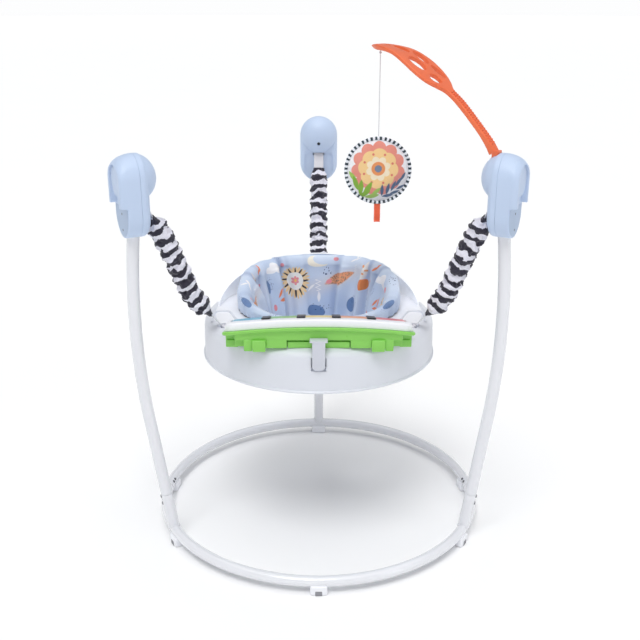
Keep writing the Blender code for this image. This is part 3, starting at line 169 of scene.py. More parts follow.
def moulded(name, colour, roughness=0.34, grain=0.00002, coat=0.0, paintedGlow=0.0):
    # injection-moulded plastic; the emission is painted light that brightens a part as if light
    # shone through its thin walls
    return clouded(name, (shade(colour, 0.965), shade(colour, 1.035)), (11, 3),
                   (38, 0.10, roughness - 0.05), (900, grain), IOR=1.49, Coat_Weight=coat,
                   Coat_Roughness=0.12, Emission_Color=colour, Emission_Strength=paintedGlow)


def metal(name, colour, roughness=0.28):
    return clouded(name, (shade(colour, 0.85), colour), (90, 3), (250, 0.2, roughness - 0.1),
                   (1500, 0.00001), Metallic=1.0)


def threads(finish, uv, pitch):
    # plain weave, both thread directions, from a UV map in metres
    along, around, unused = finish.parts(uv)
    warp = abs((along * (pi / pitch)).sine())
    weft = abs((around * (pi / pitch)).sine())
    over = ((along / pitch).sum("FLOOR") + (around / pitch).sum("FLOOR")) * 0.5
    over = over.sum("FRACT") > 0.25
    return over * warp + (1 - over) * weft


def printed(finish, colour, uv, pitch, shadow, depth):
    # the print darkened between the threads
    weave = threads(finish, uv, pitch)
    thread = finish.mix(weave, shadow, (1, 1, 1, 1))
    return finish.done(finish.mix(1.0, colour, thread, "MULTIPLY"), weave, depth)


def brushes(finish, uv):
    # masks on one map: an ellipse, a leaf where two circles overlap, petals about a middle
    def spot(x, y, wide, high, turn=0.0, soft=0.10, on=uv):
        place = finish.moved(on, x, y, turn, wide, high)
        return finish.ease(finish.vector("LENGTH", place, out="Value"), 1 + soft, 1 - soft)

    def leaf(x, y, length, width, turn):
        place = finish.moved(uv, x, y, turn, length, length)
        across = (length * length / width - width / 2) / length * 0.5
        size = sqrt(across ** 2 + 0.25)
        return (spot(0, across, size, size, 0, 0.03, place)
                * spot(0, -across, size, size, 0, 0.03, place))

    def petals(x, y, inside, outside, count, turn=0.0, sharp=0.5):
        place = finish.moved(uv, x, y, turn)
        across, up, unused = finish.parts(place)
        angle = up.sum("ARCTAN2", across)
        far = finish.vector("LENGTH", place, out="Value")
        lobe = abs((angle * (count / 2)).sine()).sum("POWER", sharp)
        return finish.ease(lobe * (outside - inside) + inside - far, -0.0004, 0.0004)

    return spot, leaf, petals


tubeColour = rgb(231, 232, 237)
whiteTube = clouded("white_tube", (shade(tubeColour, 0.97), shade(tubeColour, 1.02)), (7, 2),
                    (60, 0.10, 0.20), (420, 0.00003), IOR=1.5, Coat_Weight=1.0,
                    Coat_Roughness=0.08)
whitePlastic = moulded("white_plastic", rgb(240, 241, 246), 0.36)
# the tray's plastic, a greyer copy of the white: painted shade on the tray's wall
shadedTrayPlastic = moulded("tray_plastic_painted_shade", rgb(220, 223, 231), 0.38)
# the back wall's plastic with painted glow: emission that brightens its shaded inner face
shellPlastic = moulded("shell_plastic", rgb(246, 248, 252), 0.30, coat=0.2, paintedGlow=0.16)
bluePlastic = moulded("light_blue_plastic", rgb(194, 211, 237), 0.42, 0.00004)
# a darker copy of the heads' light blue: painted shade for the recessed panel under the arch
shadedBluePanel = moulded("light_blue_painted_shade", rgb(168, 188, 216), 0.42, 0.00004)
greyPlastic = moulded("pale_grey_plastic", rgb(205, 208, 218), 0.40)
gripRubber = moulded("grey_rubber", rgb(142, 143, 148), 0.60)
greenPlastic = moulded("green_plastic", rgb(134, 206, 88), 0.30, coat=0.15)
blackPlastic = moulded("black_plastic", rgb(40, 41, 47), 0.32)
boardGreen = moulded("board_green", rgb(36, 110, 70), 0.45)
orangePlastic = clouded("orange_plastic", (rgb(232, 100, 56), rgb(244, 122, 76)), (14, 3),
                        (40, 0.12, 0.30), (700, 0.00003), IOR=1.49)
steel = metal("steel", rgb(190, 192, 196))
darkSteel = metal("dark_steel", rgb(112, 114, 120), 0.4)
keyPlastics = {name: moulded("key_" + name, rgb(*colour), 0.30, coat=0.2)
               for name, colour in (("blue", (75, 175, 205)), ("green", (140, 205, 110)),
                                    ("yellow", (248, 220, 120)), ("orange", (246, 165, 105)),
                                    ("red", (228, 85, 80)))}
print("finishes ready")


# small tools that every piece uses

def linked(name, data):
    obj = bpy.data.objects.new(name, data)
    scene.collection.objects.link(obj)
    return obj


def toMesh(bm, name="part"):
    mesh = bpy.data.meshes.new(name)
    bm.to_mesh(mesh)
    bm.free()
    return mesh


def tidy(bm):
    bmesh.ops.remove_doubles(bm, verts=bm.verts, dist=1e-6)
    bmesh.ops.recalc_face_normals(bm, faces=bm.faces)
    return bm


def moved(bm, matrix):
    bmesh.ops.transform(bm, matrix=matrix, verts=bm.verts)
    return bm


def softened(bm, edges, offset, segments=2):
    bmesh.ops.bevel(bm, geom=edges, offset=offset, segments=segments, profile=0.5,
                    affect="EDGES", material=-1)
    return bm


def signed(value, power):
    return abs(value) ** power * (1 if value > 0 else -1)


def eased(share):
    return share * share * (3 - 2 * share)


def turnTo(start, end):
    return Vector(start).rotation_difference(Vector(end)).to_matrix().to_4x4()


def turned(bm, side):
    return moved(bm, Matrix.Rotation(radians(towerAngles[side] - 90), 4, "Z"))


def towerPlace(side):
    return (Matrix.Translation(ringMiddle)
            @ Matrix.Rotation(radians(towerAngles[side] - 90), 4, "Z"))


def dressed(name, material):
    nodes[name].data.materials.clear()
    nodes[name].data.materials.append(material)


def finishPiece(name, source, material, body, replaced=None, place=None, sharp=38):
    # a piece in the ring's frame goes to its place, rides on its body and hides its CAD node
    mesh = source if isinstance(source, bpy.types.Mesh) else toMesh(tidy(source), name)
    mesh.name = name
    mesh.transform(place or Matrix.Translation(ringMiddle))
    mesh.materials.clear()
    mesh.materials.append(material)
    mesh.shade_smooth()
    if sharp:
        mesh.set_sharp_from_angle(angle=radians(sharp))
    obj = linked(name, mesh)
    if body:
        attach(obj, body)
    if replaced:
        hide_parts(replaced)
    return obj


def addModifier(obj, kind, **settings):
    step = obj.modifiers.new(kind.lower(), kind)
    for key, value in settings.items():
        setattr(step, key, value)


def carved(source, cuts=(), joins=(), bevel=0.0, limit=40):
    # joins and cuts solids, then rounds the edges that are left
    blank = linked("blank", source if isinstance(source, bpy.types.Mesh)
                   else toMesh(tidy(source)))
    tools = []
    for group, operation in ((joins, "UNION"), (cuts, "DIFFERENCE")):
        for other in group:
            tools.append(linked("tool", toMesh(tidy(other))))
            addModifier(blank, "BOOLEAN", operation=operation, solver="EXACT",
                        object=tools[-1])
    if bevel:
        addModifier(blank, "WELD", merge_threshold=0.00002)
        addModifier(blank, "BEVEL", width=bevel, segments=3 if limit > 40 else 2,
                    limit_method="ANGLE", angle_limit=radians(limit), use_clamp_overlap=True,
                    harden_normals=False)
    graph = bpy.context.evaluated_depsgraph_get()
    mesh = bpy.data.meshes.new_from_object(blank.evaluated_get(graph))
    holder = blank.data
    for used in [blank] + tools:
        bpy.data.objects.remove(used, do_unlink=True)
    bpy.data.meshes.remove(holder)
    return mesh


def merged(*pieces):
    bm = bmesh.new()
    for other in pieces:
        mesh = toMesh(other) if isinstance(other, bmesh.types.BMesh) else other
        bm.from_mesh(mesh)
        bpy.data.meshes.remove(mesh)
    return bm


def block(low, high, bevel=0.0, segments=3):
    bm = bmesh.new()
    bmesh.ops.create_cube(bm, size=1.0)
    bmesh.ops.scale(bm, vec=[b - a for a, b in zip(low, high)], verts=bm.verts)
    bmesh.ops.translate(bm, vec=[(a + b) / 2 for a, b in zip(low, high)], verts=bm.verts)
    return softened(bm, bm.edges[:], bevel, segments) if bevel else bm


def mirrored(across, near, far):
    return sorted((across * near, across * far))


def rod(start, end, radius, steps=32, bevel=0.0):
    start, end = Vector(start), Vector(end)
    bm = bmesh.new()
    bmesh.ops.create_cone(bm, cap_ends=True, segments=steps, radius1=radius, radius2=radius,
                          depth=(end - start).length)
    if bevel:
        softened(bm, [e for e in bm.edges
                      if abs(abs(e.verts[0].co.z) - abs(e.verts[1].co.z)) < 1e-7
                      and e.verts[0].co.z * e.verts[1].co.z > 0], bevel)
    return moved(bm, Matrix.Translation((start + end) / 2) @ turnTo((0, 0, 1), end - start))


def lathe(profile, steps=64, closed=False):
    # a line of (radius, height) spun round Z
    bm = bmesh.new()
    dots = [bm.verts.new((r, 0, z)) for r, z in profile]
    lines = [bm.edges.new(pair) for pair in zip(dots, dots[1:] + dots[:1] * closed)]
    bmesh.ops.spin(bm, geom=dots + lines, cent=(0, 0, 0), axis=(0, 0, 1), angle=2 * pi,
                   steps=steps, use_merge=True)
    bmesh.ops.dissolve_degenerate(bm, dist=1e-7, edges=bm.edges)
    return tidy(bm)


def layBack(bm, place):
    # the lathe's axis turned to point along +Y
    bmesh.ops.rotate(bm, cent=(0, 0, 0), matrix=Matrix.Rotation(radians(-90), 3, "X"),
                     verts=bm.verts)
    bmesh.ops.translate(bm, vec=place, verts=bm.verts)
    return bm


def capsule(half, low, high, steps=24):
    # a flat outline of (x, z) with round ends
    dots = []
    for start, middle in ((0, high - half), (pi, low + half)):
        dots += [(half * cos(start + pi * s / steps), middle + half * sin(start + pi * s / steps))
                 for s in range(steps + 1)]
    return dots


def roundedRectangle(low, high, radius, steps=8):
    dots = []
    for corner, (x, y) in enumerate(((high[0] - radius, high[1] - radius),
                                     (low[0] + radius, high[1] - radius),
                                     (low[0] + radius, low[1] + radius),
                                     (high[0] - radius, low[1] + radius))):
        dots += [(x + radius * cos(pi / 2 * (corner + s / steps)),
                  y + radius * sin(pi / 2 * (corner + s / steps))) for s in range(steps + 1)]
    return dots


def plate(outline, near, far, bevelNear=0.0, bevelFar=0.0, upright=True, segments=5):
    # an outline extruded: along Y when upright, else along Z
    bm = bmesh.new()
    face = bm.faces.new([bm.verts.new((x, y, near)) for x, y in outline])
    made = bmesh.ops.extrude_face_region(bm, geom=[face])["geom"]
    bmesh.ops.translate(bm, vec=(0, 0, far - near),
                        verts=[g for g in made if isinstance(g, bmesh.types.BMVert)])
    for level, amount in ((near, bevelNear), (far, bevelFar)):
        if amount:
            softened(bm, [e for e in bm.edges if all(abs(v.co.z - level) < 1e-6
                                                     for v in e.verts)], amount, segments)
    if upright:
        for vert in bm.verts:
            vert.co = (vert.co.x, vert.co.z, vert.co.y)
    return tidy(bm)


def formed(acrossSteps, alongSteps, place, across=1.0, along=1.0):
    # a grid laid over any surface, its UV map in metres
    bm = bmesh.new()
    uvs = bm.loops.layers.uv.new("UVMap")
    bmesh.ops.create_grid(bm, x_segments=acrossSteps, y_segments=alongSteps, size=0.5)
    for face in bm.faces:
        for loop in face.loops:
            loop[uvs].uv = ((loop.vert.co.x + 0.5) * across, (loop.vert.co.y + 0.5) * along)
    for vert in bm.verts:
        vert.co = place(vert.co.x + 0.5, vert.co.y + 0.5)
    return tidy(bm)


def remapped(bm, mapping):
    uvs = bm.loops.layers.uv.active
    for face in bm.faces:
        for loop in face.loops:
            loop[uvs].uv = mapping(loop.vert.co, loop[uvs].uv)
    return bm


def capped(bm):
    bmesh.ops.holes_fill(bm, edges=[e for e in bm.edges if e.is_boundary], sides=0)
    return tidy(bm)


def areaOf(*sheets):
    return sum(face.calc_area() for bm in sheets for face in bm.faces)


def throughFour(a, b, c, d, t):
    # the smooth curve between b and c
    return 0.5 * (2 * b + (c - a) * t + (2 * a - 5 * b + 4 * c - d) * t * t
                  + (3 * b - a - 3 * c + d) * t ** 3)


def smoothLine(points, steps=8, closed=False):
    # a smooth curve through the points
    count = len(points)
    made = []
    for i in range(count if closed else count - 1):
        near = [Vector(points[(i + k) % count if closed else min(max(i + k, 0), count - 1)])
                for k in (-1, 0, 1, 2)]
        made += [throughFour(*near, s / steps) for s in range(steps)]
    return made if closed else made + [Vector(points[-1])]


def lengthOf(points):
    return sum((b - a).length for a, b in zip(points, points[1:]))


def tube(points, radius, steps=28, upHint=(0, 0, 1), closed=False, caps=True):
    # a round tube along points; radius may be a function of (share along, angle)
    count = len(points)
    hint = Vector(upHint)
    frames = []
    for i in range(count):
        before = points[i - 1] if closed or i else points[0]
        after = points[(i + 1) % count] if closed or i + 1 < count else points[-1]
        way = (after - before).normalized()
        side = way.cross(hint).normalized()
        hint = side.cross(way).normalized()
        frames.append((side, hint.copy()))
    rows = count if closed else count - 1
    size = radius if callable(radius) else lambda v, angle: radius

    def place(u, v):
        row = round(v * rows) % count
        side, up = frames[row]
        angle = 2 * pi * u
        return points[row] + size(v, angle) * (side * cos(angle) + up * sin(angle))

    bm = formed(steps, rows, place, 2 * pi * size(0.5, 0.0), lengthOf(points))
    return bm if closed or not caps else capped(bm)


def noiseAt(x, y, z, seed=0):
    return noise.noise(Vector((x + seed * 13.7, y - seed * 7.3, z + seed * 3.1)))


# camera at the photograph's place, a pale floor and soft light
camera = linked("camera", bpy.data.cameras.new("camera"))
camera.location = (0, -1.9338, 1.1405)
camera.rotation_euler = (radians(70.365), 0, 0)
camera.data.lens = 50.175
camera.data.sensor_width = 36
camera.data.shift_x = 0.00203
camera.data.clip_end = 5000
scene.camera = camera
scene.view_settings.view_transform = "Standard"

studio = {"floor": 82.0, "far": 80.0, "high": 11.5, "world": 0.36,
          "lamps": (("key_light", (-0.30, -1.2, 2.8), (0, 0, 0.4), 28, 1.16),
                    ("top_light", (0.1, -0.1, 3.0), (0, 0, 0), 75, 1.12),
                    ("side_light", (2.0, -1.6, 1.5), (0, 0, 0.5), 12, 0.16))}
for name, place, aim, spread, power in studio["lamps"]:
    light = bpy.data.lights.new(name, "SUN")
    light.angle = radians(spread)
    light.energy = power
    holder = linked(name, light)
    holder.location = place
    holder.rotation_euler = (Vector(aim) - Vector(place)).to_track_quat("-Z", "Y").to_euler()

world = bpy.data.worlds.new("studio_world")
world.use_nodes = True
world.node_tree.nodes["Background"].inputs[0].default_value = (0.96, 0.98, 1.0, 1)
world.node_tree.nodes["Background"].inputs[1].default_value = studio["world"]
scene.world = world


def staged(name, bm, finish):
    mesh = toMesh(bm, name)
    mesh.materials.append(finish.material)
    linked(name, mesh)


floorPaint = Finish("floor_paint")
floorPaint.feed(Base_Color=floorPaint.mix(floorPaint.cloud(floorPaint.where(), 2, 2),
                                          (0.962, 0.962, 0.966, 1), (0.982, 0.982, 0.986, 1)),
                Roughness=floorPaint.cloud(floorPaint.where(), 30, 2) * 0.1 + 0.75)
bm = bmesh.new()
bmesh.ops.create_grid(bm, x_segments=2, y_segments=2, size=studio["floor"])
staged("floor", bm, floorPaint)

backdropPaint = Finish("backdrop_paint", Base_Color=(0, 0, 0, 1), Roughness=1.0,
                       Emission_Strength=1.0)
backdropPaint.feed(Emission_Color=backdropPaint.mix(
    backdropPaint.cloud(backdropPaint.where(), 0.1, 2), (0.965, 0.97, 0.975, 1),
    (0.975, 0.98, 0.985, 1)))
bm = bmesh.new()
bmesh.ops.create_cone(bm, segments=96, radius1=studio["far"], radius2=studio["far"],
                      depth=studio["high"],
                      matrix=Matrix.Translation((0, 0, studio["high"] / 2)))
staged("backdrop", bm, backdropPaint)
print("camera, floor and lights ready")


# the string comes first: 165 mm from the knot under the toy bar to the disc's edge
toy = {"x": 0.12563, "y": -0.04324, "z": 0.8029, "knot": 1.0430, "top": 1.0397, "low": 0.8747,
       "thick": 0.0018, "pad": 0.065, "edge": 0.0715, "depth": 0.026, "checks": 44,
       "borderReach": 0.0679, "ribbon": 0.0136, "fall": 0.0396}

fibre = Finish("string_fibre", Roughness=0.65)
fibreAlong = fibre.parts(fibre.where("UV"))
twist = abs(((fibreAlong[1] + fibreAlong[0] * 0.35) * 1900).sine())
stringFibre = fibre.done(fibre.mix(twist, rgb(170, 172, 178), rgb(232, 233, 237)), twist,
                         0.0002)

stringLine = [Vector((toy["x"], toy["y"], toy["low"] + (toy["top"] - toy["low"]) * s / 24))
              for s in range(25)]
stringPiece = finishPiece("hanging_string", tube(stringLine, toy["thick"] / 2, 14, (0, 1, 0)),
                          stringFibre, "toy_string", "toy_string", asIs)
print("string ready")


# floor ring, stubs, uprights and feet
ring = {"radius": 0.365, "tube": 0.0115, "height": 0.0255, "seam": 1.7}
upright = {"tube": 0.0127, "stubTop": 0.117, "gap": 0.0010, "top": 0.75, "lean": 0.14,
           "bendFrom": 0.30, "bend": 1.70}


def uprightReach(height):
    past = max(0.0, height - upright["bendFrom"])
    inward = upright["bend"] - sqrt(upright["bend"] ** 2 - past ** 2)
    return ring["radius"] + upright["lean"] * (height - ring["height"]) - inward


def uprightLine(low, high, steps):
    return [Vector((0, uprightReach(low + (high - low) * s / steps),
                    low + (high - low) * s / steps)) for s in range(steps + 1)]


def endRims(bm):
    return [e for e in bm.edges if any(len(f.verts) > 4 for f in e.link_faces)]


def ringArc(startAngle, endAngle):
    # a circle swept round the ring's axis, its two ends closed
    bm = bmesh.new()
    stand = Matrix.Rotation(radians(startAngle), 4, "Z") @ Matrix.Translation(
        (ring["radius"], 0, ring["height"])) @ Matrix.Rotation(radians(90), 4, "X")
    made = bmesh.ops.create_circle(bm, cap_ends=False, radius=ring["tube"], segments=28,
                                   matrix=stand)
    bmesh.ops.spin(bm, geom=made["verts"] + bm.edges[:], cent=(0, 0, 0), axis=(0, 0, 1),
                   angle=radians(endAngle - startAngle), steps=120)
    capped(bm)
    return softened(bm, endRims(bm), 0.0006)


def stub(side):
    line = uprightLine(ring["height"], upright["stubTop"], 6)
    wall = tube(line, upright["tube"], 32, (1, 0, 0))
    softened(wall, endRims(wall), 0.0005)
    # weld bead where the stub meets the ring
    way = (line[-1] - line[0]).normalized()
    bead = []
    for s in range(48):
        angle = 2 * pi * s / 48
        x, across = upright["tube"] * cos(angle), upright["tube"] * sin(angle)
        rise = sqrt(max(0.0, (ring["tube"] + 0.0004) ** 2 - min(across ** 2, 0.00013)))
        bead.append(line[0] + Vector((x, across * cos(0.14), rise * 0.98)) + way * 0.0005)
    return turned(merged(wall, tube(bead, 0.0011, 8, closed=True)), side)


def screwHead(place, outward, radius=0.0042, rise=0.0018):
    # a domed screw with a cross recess
    bm = lathe([(0, rise), (radius * 0.45, rise * 0.94), (radius * 0.8, rise * 0.62),
                (radius, rise * 0.12), (radius, -0.0012), (0, -0.0012)], 24)
    for angle in (0, 90):
        bar = block((-radius * 0.55, -radius * 0.11, rise * 0.35),
                    (radius * 0.55, radius * 0.11, rise * 1.4))
        bm = merged(carved(bm, [moved(bar, Matrix.Rotation(radians(angle), 4, "Z"))]))
    return moved(bm, Matrix.Translation(place) @ turnTo((0, 0, 1), outward))


finishPiece("ring_front", merged(ringArc(180 - ring["seam"], 360 + ring["seam"]), stub("left"),
                                 stub("right")), whiteTube, "frame", "base_front_arc")
finishPiece("ring_rear", merged(ringArc(ring["seam"] + 0.05, 179.95 - ring["seam"]),
                                stub("rear")), whiteTube, "frame", "base_rear_arc")

for side in sides:
    post = tube(uprightLine(upright["stubTop"] + upright["gap"], upright["top"], 60),
                upright["tube"], 36, (1, 0, 0))
    finishPiece("upright_tube_" + side, post, whiteTube, "frame", "upright_" + side,
                towerPlace(side))
    out = Vector((-0.25 if side == "right" else 0.25, 0.97, -0.14)).normalized()
    heads = [screwHead(Vector((0, uprightReach(height), height)) + out * upright["tube"], out)
             for height in (0.112, 0.094)]
    finishPiece("stub_screws_" + side, merged(*heads), darkSteel, "frame",
                place=towerPlace(side))

seamScrews = []
for seamSide in (1, -1):
    for step in (2.4, 4.4):
        angle = radians(90 + seamSide * (90 - ring["seam"] - step))
        out = Vector((cos(angle), sin(angle), 0))
        inward = Vector((-0.8 * out.x, -0.8 * out.y, 0.6))
        seamScrews.append(screwHead(out * ring["radius"] + Vector((0, 0, ring["height"]))
                                    + inward * ring["tube"], inward, 0.0036))
finishPiece("ring_screws", merged(*seamScrews), darkSteel, "frame")

feet = {"front": 270, "rear": 90, "front_left": 211, "front_right": 329, "back_left": 172,
        "back_right": 8}
for name, angle in feet.items():
    turn = Matrix.Rotation(radians(angle), 4, "Z") @ Matrix.Translation((ring["radius"], 0, 0))
    pad = merged(block((-0.015, -0.018, 0.0), (0.015, 0.018, 0.0215), 0.0042, 5),
                 block((-0.0152, -0.0115, 0.0055), (0.0152, 0.0115, 0.016), 0.0016, 2))
    finishPiece("foot_block_" + name, moved(pad, turn), whitePlastic, "frame", "foot_" + name)
    grip = block((-0.0124, -0.0072, 0.0003), (0.0155, 0.0072, 0.0112), 0.0008, 2)
    finishPiece("foot_grip_" + name, moved(grip, turn), gripRubber, "frame")
print("ring, uprights and feet ready")


# tower heads, in a tower's own frame: x across, y outward
head = {"half": 0.047, "low": 0.703, "high": 0.867, "inner": 0.38411, "seam": 0.40261,
        "panel": 0.43011, "outer": 0.44311, "dome": 0.04206, "domeDepth": 0.024,
        "archHalf": 0.03196, "archDrop": 0.004, "legLow": 0.76595, "discHalf": 0.0300,
        "discFace": 0.4396, "pinReach": 0.40811, "pinHeight": 0.792, "screwDrop": 0.0168}
half, low, high, inner, seam, panel, outer = (
    head[key] for key in ("half", "low", "high", "inner", "seam", "panel", "outer"))
headMiddle = high - half
archMiddle = headMiddle - head["archDrop"]
screwLevel = headMiddle - head["screwDrop"]
barBase, barHeading = Vector((0.34323, -0.17488, 0)), Vector((-0.8, 0.6, 0))
barStand = Matrix.Translation(barBase) @ turnTo((1, 0, 0), barHeading)


def rounded(bm):
    # a back shell's top falls away towards its outer face
    for vert in bm.verts:
        if vert.co.z > headMiddle and vert.co.y > seam:
            share = 1 - 0.56 * ((vert.co.y - seam) / (outer - seam)) ** 2
            vert.co.z = headMiddle + (vert.co.z - headMiddle) * sqrt(share)
    return bm


for side in sides:
    stand = towerPlace(side)
    outline = capsule(half, low, high, 30)
    bulge = seam - inner + head["domeDepth"]
    dome = layBack(lathe([((half - 0.0003) * sin(pi / 2 * s / 24), -bulge * cos(pi / 2 * s / 24))
                          for s in range(25)] + [(0, 0)], 72), (0, seam - 0.0004, headMiddle))
    channel = plate(roundedRectangle((-0.0362, low - 0.04), (0.0362, headMiddle - head["dome"]),
                                     0.012), inner - 0.004, inner + 0.0035)
    cuts = [channel, block((-0.0145, inner + 0.0025, 0.7712), (0.0145, seam, 0.791)),
            rod((0, inner - 0.03, screwLevel), (0, inner - 0.0125, screwLevel), 0.0043)]
    if side == "right":
        socket = moved(block((-0.0076, -0.0111, high - 0.028), (0.0076, 0.0111, high + 0.0075)),
                       barStand)
        cuts.append(moved(socket, Matrix.Rotation(radians(90 - towerAngles[side]), 4, "Z")))
    shell = carved(plate(outline, inner, seam - 0.00015, 0.0118, 0.0005, segments=9), cuts,
                   [dome], 0.0006)
    finishPiece("head_front_" + side, shell, bluePlastic, "frame", "head_inner_shell_" + side,
                stand, 45)
    # black discs at the bottom of the screw hole and the strap slot: painted shade standing in
    # for the dark hollow inside the head
    inside = merged(rod((0, inner - 0.0124, screwLevel), (0, inner - 0.0136, screwLevel),
                        0.0041, 28),
                    block((-0.0125, inner + 0.0075, 0.7722), (0.0125, inner + 0.009, 0.7902)))
    finishPiece("head_hollow_shade_" + side, inside, blackPlastic, "frame", place=stand)

    arch = plate(outline, 0, (outer - seam - 0.001) / 1.5, 0, 0.0085, segments=10)
    bmesh.ops.scale(arch, vec=(1, 1.5, 1), verts=arch.verts)
    bmesh.ops.translate(arch, vec=(0, seam + 0.001, 0), verts=arch.verts)
    legs = block((-0.06, seam - 0.01, low - 0.01), (0.06, outer + 0.01, head["legLow"] + 0.003))
    opening = plate(capsule(head["archHalf"], head["legLow"] - 0.05,
                            archMiddle + head["archHalf"]), panel + 0.0005, outer + 0.01)
    arch = merged(carved(rounded(arch), [legs, opening]))
    foot = panel - head["discFace"] - 0.002
    disc = layBack(lathe([(0, 0), (0.026, 0), (0.0265, -0.0006), (0.027, 0),
                          (head["discHalf"] - 0.0012, -0.0003), (head["discHalf"], -0.0014),
                          (head["discHalf"], foot), (0, foot)], 72),
                   (0, head["discFace"], archMiddle))
    rear = plate(outline, seam + 0.00015, panel, 0.0005, 0.0022)
    for depth in (0.006, 0.012, 0.018, 0.023):
        bmesh.ops.bisect_plane(rear, geom=rear.verts[:] + rear.edges[:] + rear.faces[:],
                               plane_co=(0, seam + depth, 0), plane_no=(0, 1, 0), dist=1e-6)
    finishPiece("head_back_" + side, carved(rounded(rear), [], [arch, disc], 0.0007),
                bluePlastic, "frame", "head_outer_shell_" + side, stand, 45)
    # a darker sheet over the recessed panel below the arch: painted shade where the arch shades
    # the panel
    upper = block((-0.06, panel - 0.01, head["legLow"] - 0.0005),
                  (0.06, panel + 0.01, high + 0.01))
    inset = carved(plate(capsule(half - 0.0035, low + 0.0035, high), panel - 0.001,
                         panel + 0.0004), [upper])
    finishPiece("head_shade_inset_" + side, inset, shadedBluePanel, "frame", place=stand, sharp=45)
    backScrews = merged(*[screwHead((0, panel - 0.0002, low + z), (0, 1, 0), 0.0030, 0.0012)
                          for z in (0.016, 0.048)])
    finishPiece("head_back_screws_" + side, backScrews, darkSteel, "frame", place=stand)
    dressed("hanger_pin_" + side, steel)
    dressed("link_pin_" + side, steel)
print("tower heads ready")


# suspension: strap, spring, gathered sleeve and link on one route in the tower's plane
route = smoothLine([Vector((0, reach, height)) for reach, height in (
    (0.4081, 0.7920), (0.3961, 0.7815), (0.3886, 0.7755), (0.3826, 0.7660), (0.3751, 0.7465),
    (0.3641, 0.7219), (0.3485, 0.6901), (0.3334, 0.6549), (0.3193, 0.6219), (0.3083, 0.5921),
    (0.2963, 0.5661), (0.2812, 0.5440), (0.2652, 0.5251), (0.2490, 0.5061), (0.2330, 0.4868),
    (0.2268, 0.4805))], 12)
routeMarks = [0.0]
for a, b in zip(route, route[1:]):
    routeMarks.append(routeMarks[-1] + (b - a).length)
routeEnd = routeMarks[-1]
hang = {"strapEnd": 0.090, "sleeveStart": 0.064, "sleeveLeft": 0.047, "linkLeft": 0.064,
        "strapWidth": 0.024, "linkWidth": 0.018, "web": 0.0024, "eye": 0.0056, "coil": 0.0105,
        "wire": 0.00125, "turns": 11, "hook": 0.006, "sleeveLow": 0.0168, "sleeveHigh": 0.0212,
        "girth": 0.13}
linkStart = routeEnd - hang["linkLeft"]


def onRoute(distance):
    distance = min(max(distance, 0.0), routeEnd)
    i = next((k for k in range(1, len(routeMarks)) if routeMarks[k] >= distance),
             len(routeMarks) - 1)
    share = (distance - routeMarks[i - 1]) / (routeMarks[i] - routeMarks[i - 1])
    way = (route[i] - route[i - 1]).normalized()
    return route[i - 1].lerp(route[i], share), way, way.cross(Vector((1, 0, 0)))


def webbingFinish():
    finish = Finish("white_webbing", Roughness=0.8)
    across, along, unused = finish.parts(finish.where("UV"))
    rib = abs((across * (pi / 0.0016)).sine())
    pick = abs(((along + abs(across - 0.012) * 0.8) * (pi / 0.0013)).sine())
    weave = rib * 0.6 + pick * 0.4
    soil = finish.cloud(finish.where(), 60, 3)
    colour = finish.mix(weave, rgb(196, 197, 208), rgb(243, 242, 246))
    return finish.done(finish.mix(soil * 0.25, colour, rgb(222, 222, 228)), weave, 0.00025)


def webPiece(startAt, endAt, width, steps, eyeAt, eyeHalf):
    # flat webbing with rounded edges, and the eye at its end
    def place(u, v):
        middle, way, off = onRoute(startAt + (endAt - startAt) * v)
        angle = 2 * pi * u
        return (middle + Vector((width / 2 * signed(cos(angle), 0.22), 0, 0))
                + off * (hang["web"] / 2 * signed(sin(angle), 0.6)))

    web = remapped(formed(40, steps, place, 1.0, endAt - startAt),
                   lambda spot, uv: (spot.x + width / 2, uv.y))
    aside = Vector((eyeHalf, 0, 0))
    return capped(web), rod(eyeAt - aside, eyeAt + aside, hang["eye"], 28)


def stitchRows(lift, width=0.024):
    rows = []
    for distance in (0.030, 0.034):
        for k in range(-4, 5):
            middle, way, off = onRoute(distance)
            place = middle + Vector((k * width / 10, 0, 0)) + off * lift
            reach = Vector((width / 28, 0, 0))
            rows.append(rod(place - reach, place + reach, 0.0004, 6))
    return rows


def springLine():
    hook, turns = hang["hook"], hang["turns"]
    # the coil starts and ends where the two hooks leave it
    clear = 0.005 - 0.0011 - 2 * hook - 0.006
    coilStart, coilEnd = hang["strapEnd"] - clear, linkStart + clear
    hooks = []
    for end, flip in ((coilStart - 0.006 - hook, 1), (coilEnd + 0.006 + hook, -1)):
        middle, way, off = onRoute(end)
        angles = [radians(45 + 30.4 * s / 2) for s in range(21)]
        hooks.append([middle + hook * (way * flip * cos(a) + off * sin(a)) for a in angles])
    steps = turns * 14
    coil = []
    for s in range(steps + 1):
        middle, way, off = onRoute(coilStart + (coilEnd - coilStart) * s / steps)
        grow = max(0.35, min(1.0, s / 12, (steps - s) / 12))
        angle = 2 * pi * turns * s / steps
        coil.append(middle + hang["coil"] * grow
                    * (Vector((1, 0, 0)) * sin(angle) + off * cos(angle)))
    return hooks[0] + coil + hooks[1][::-1]


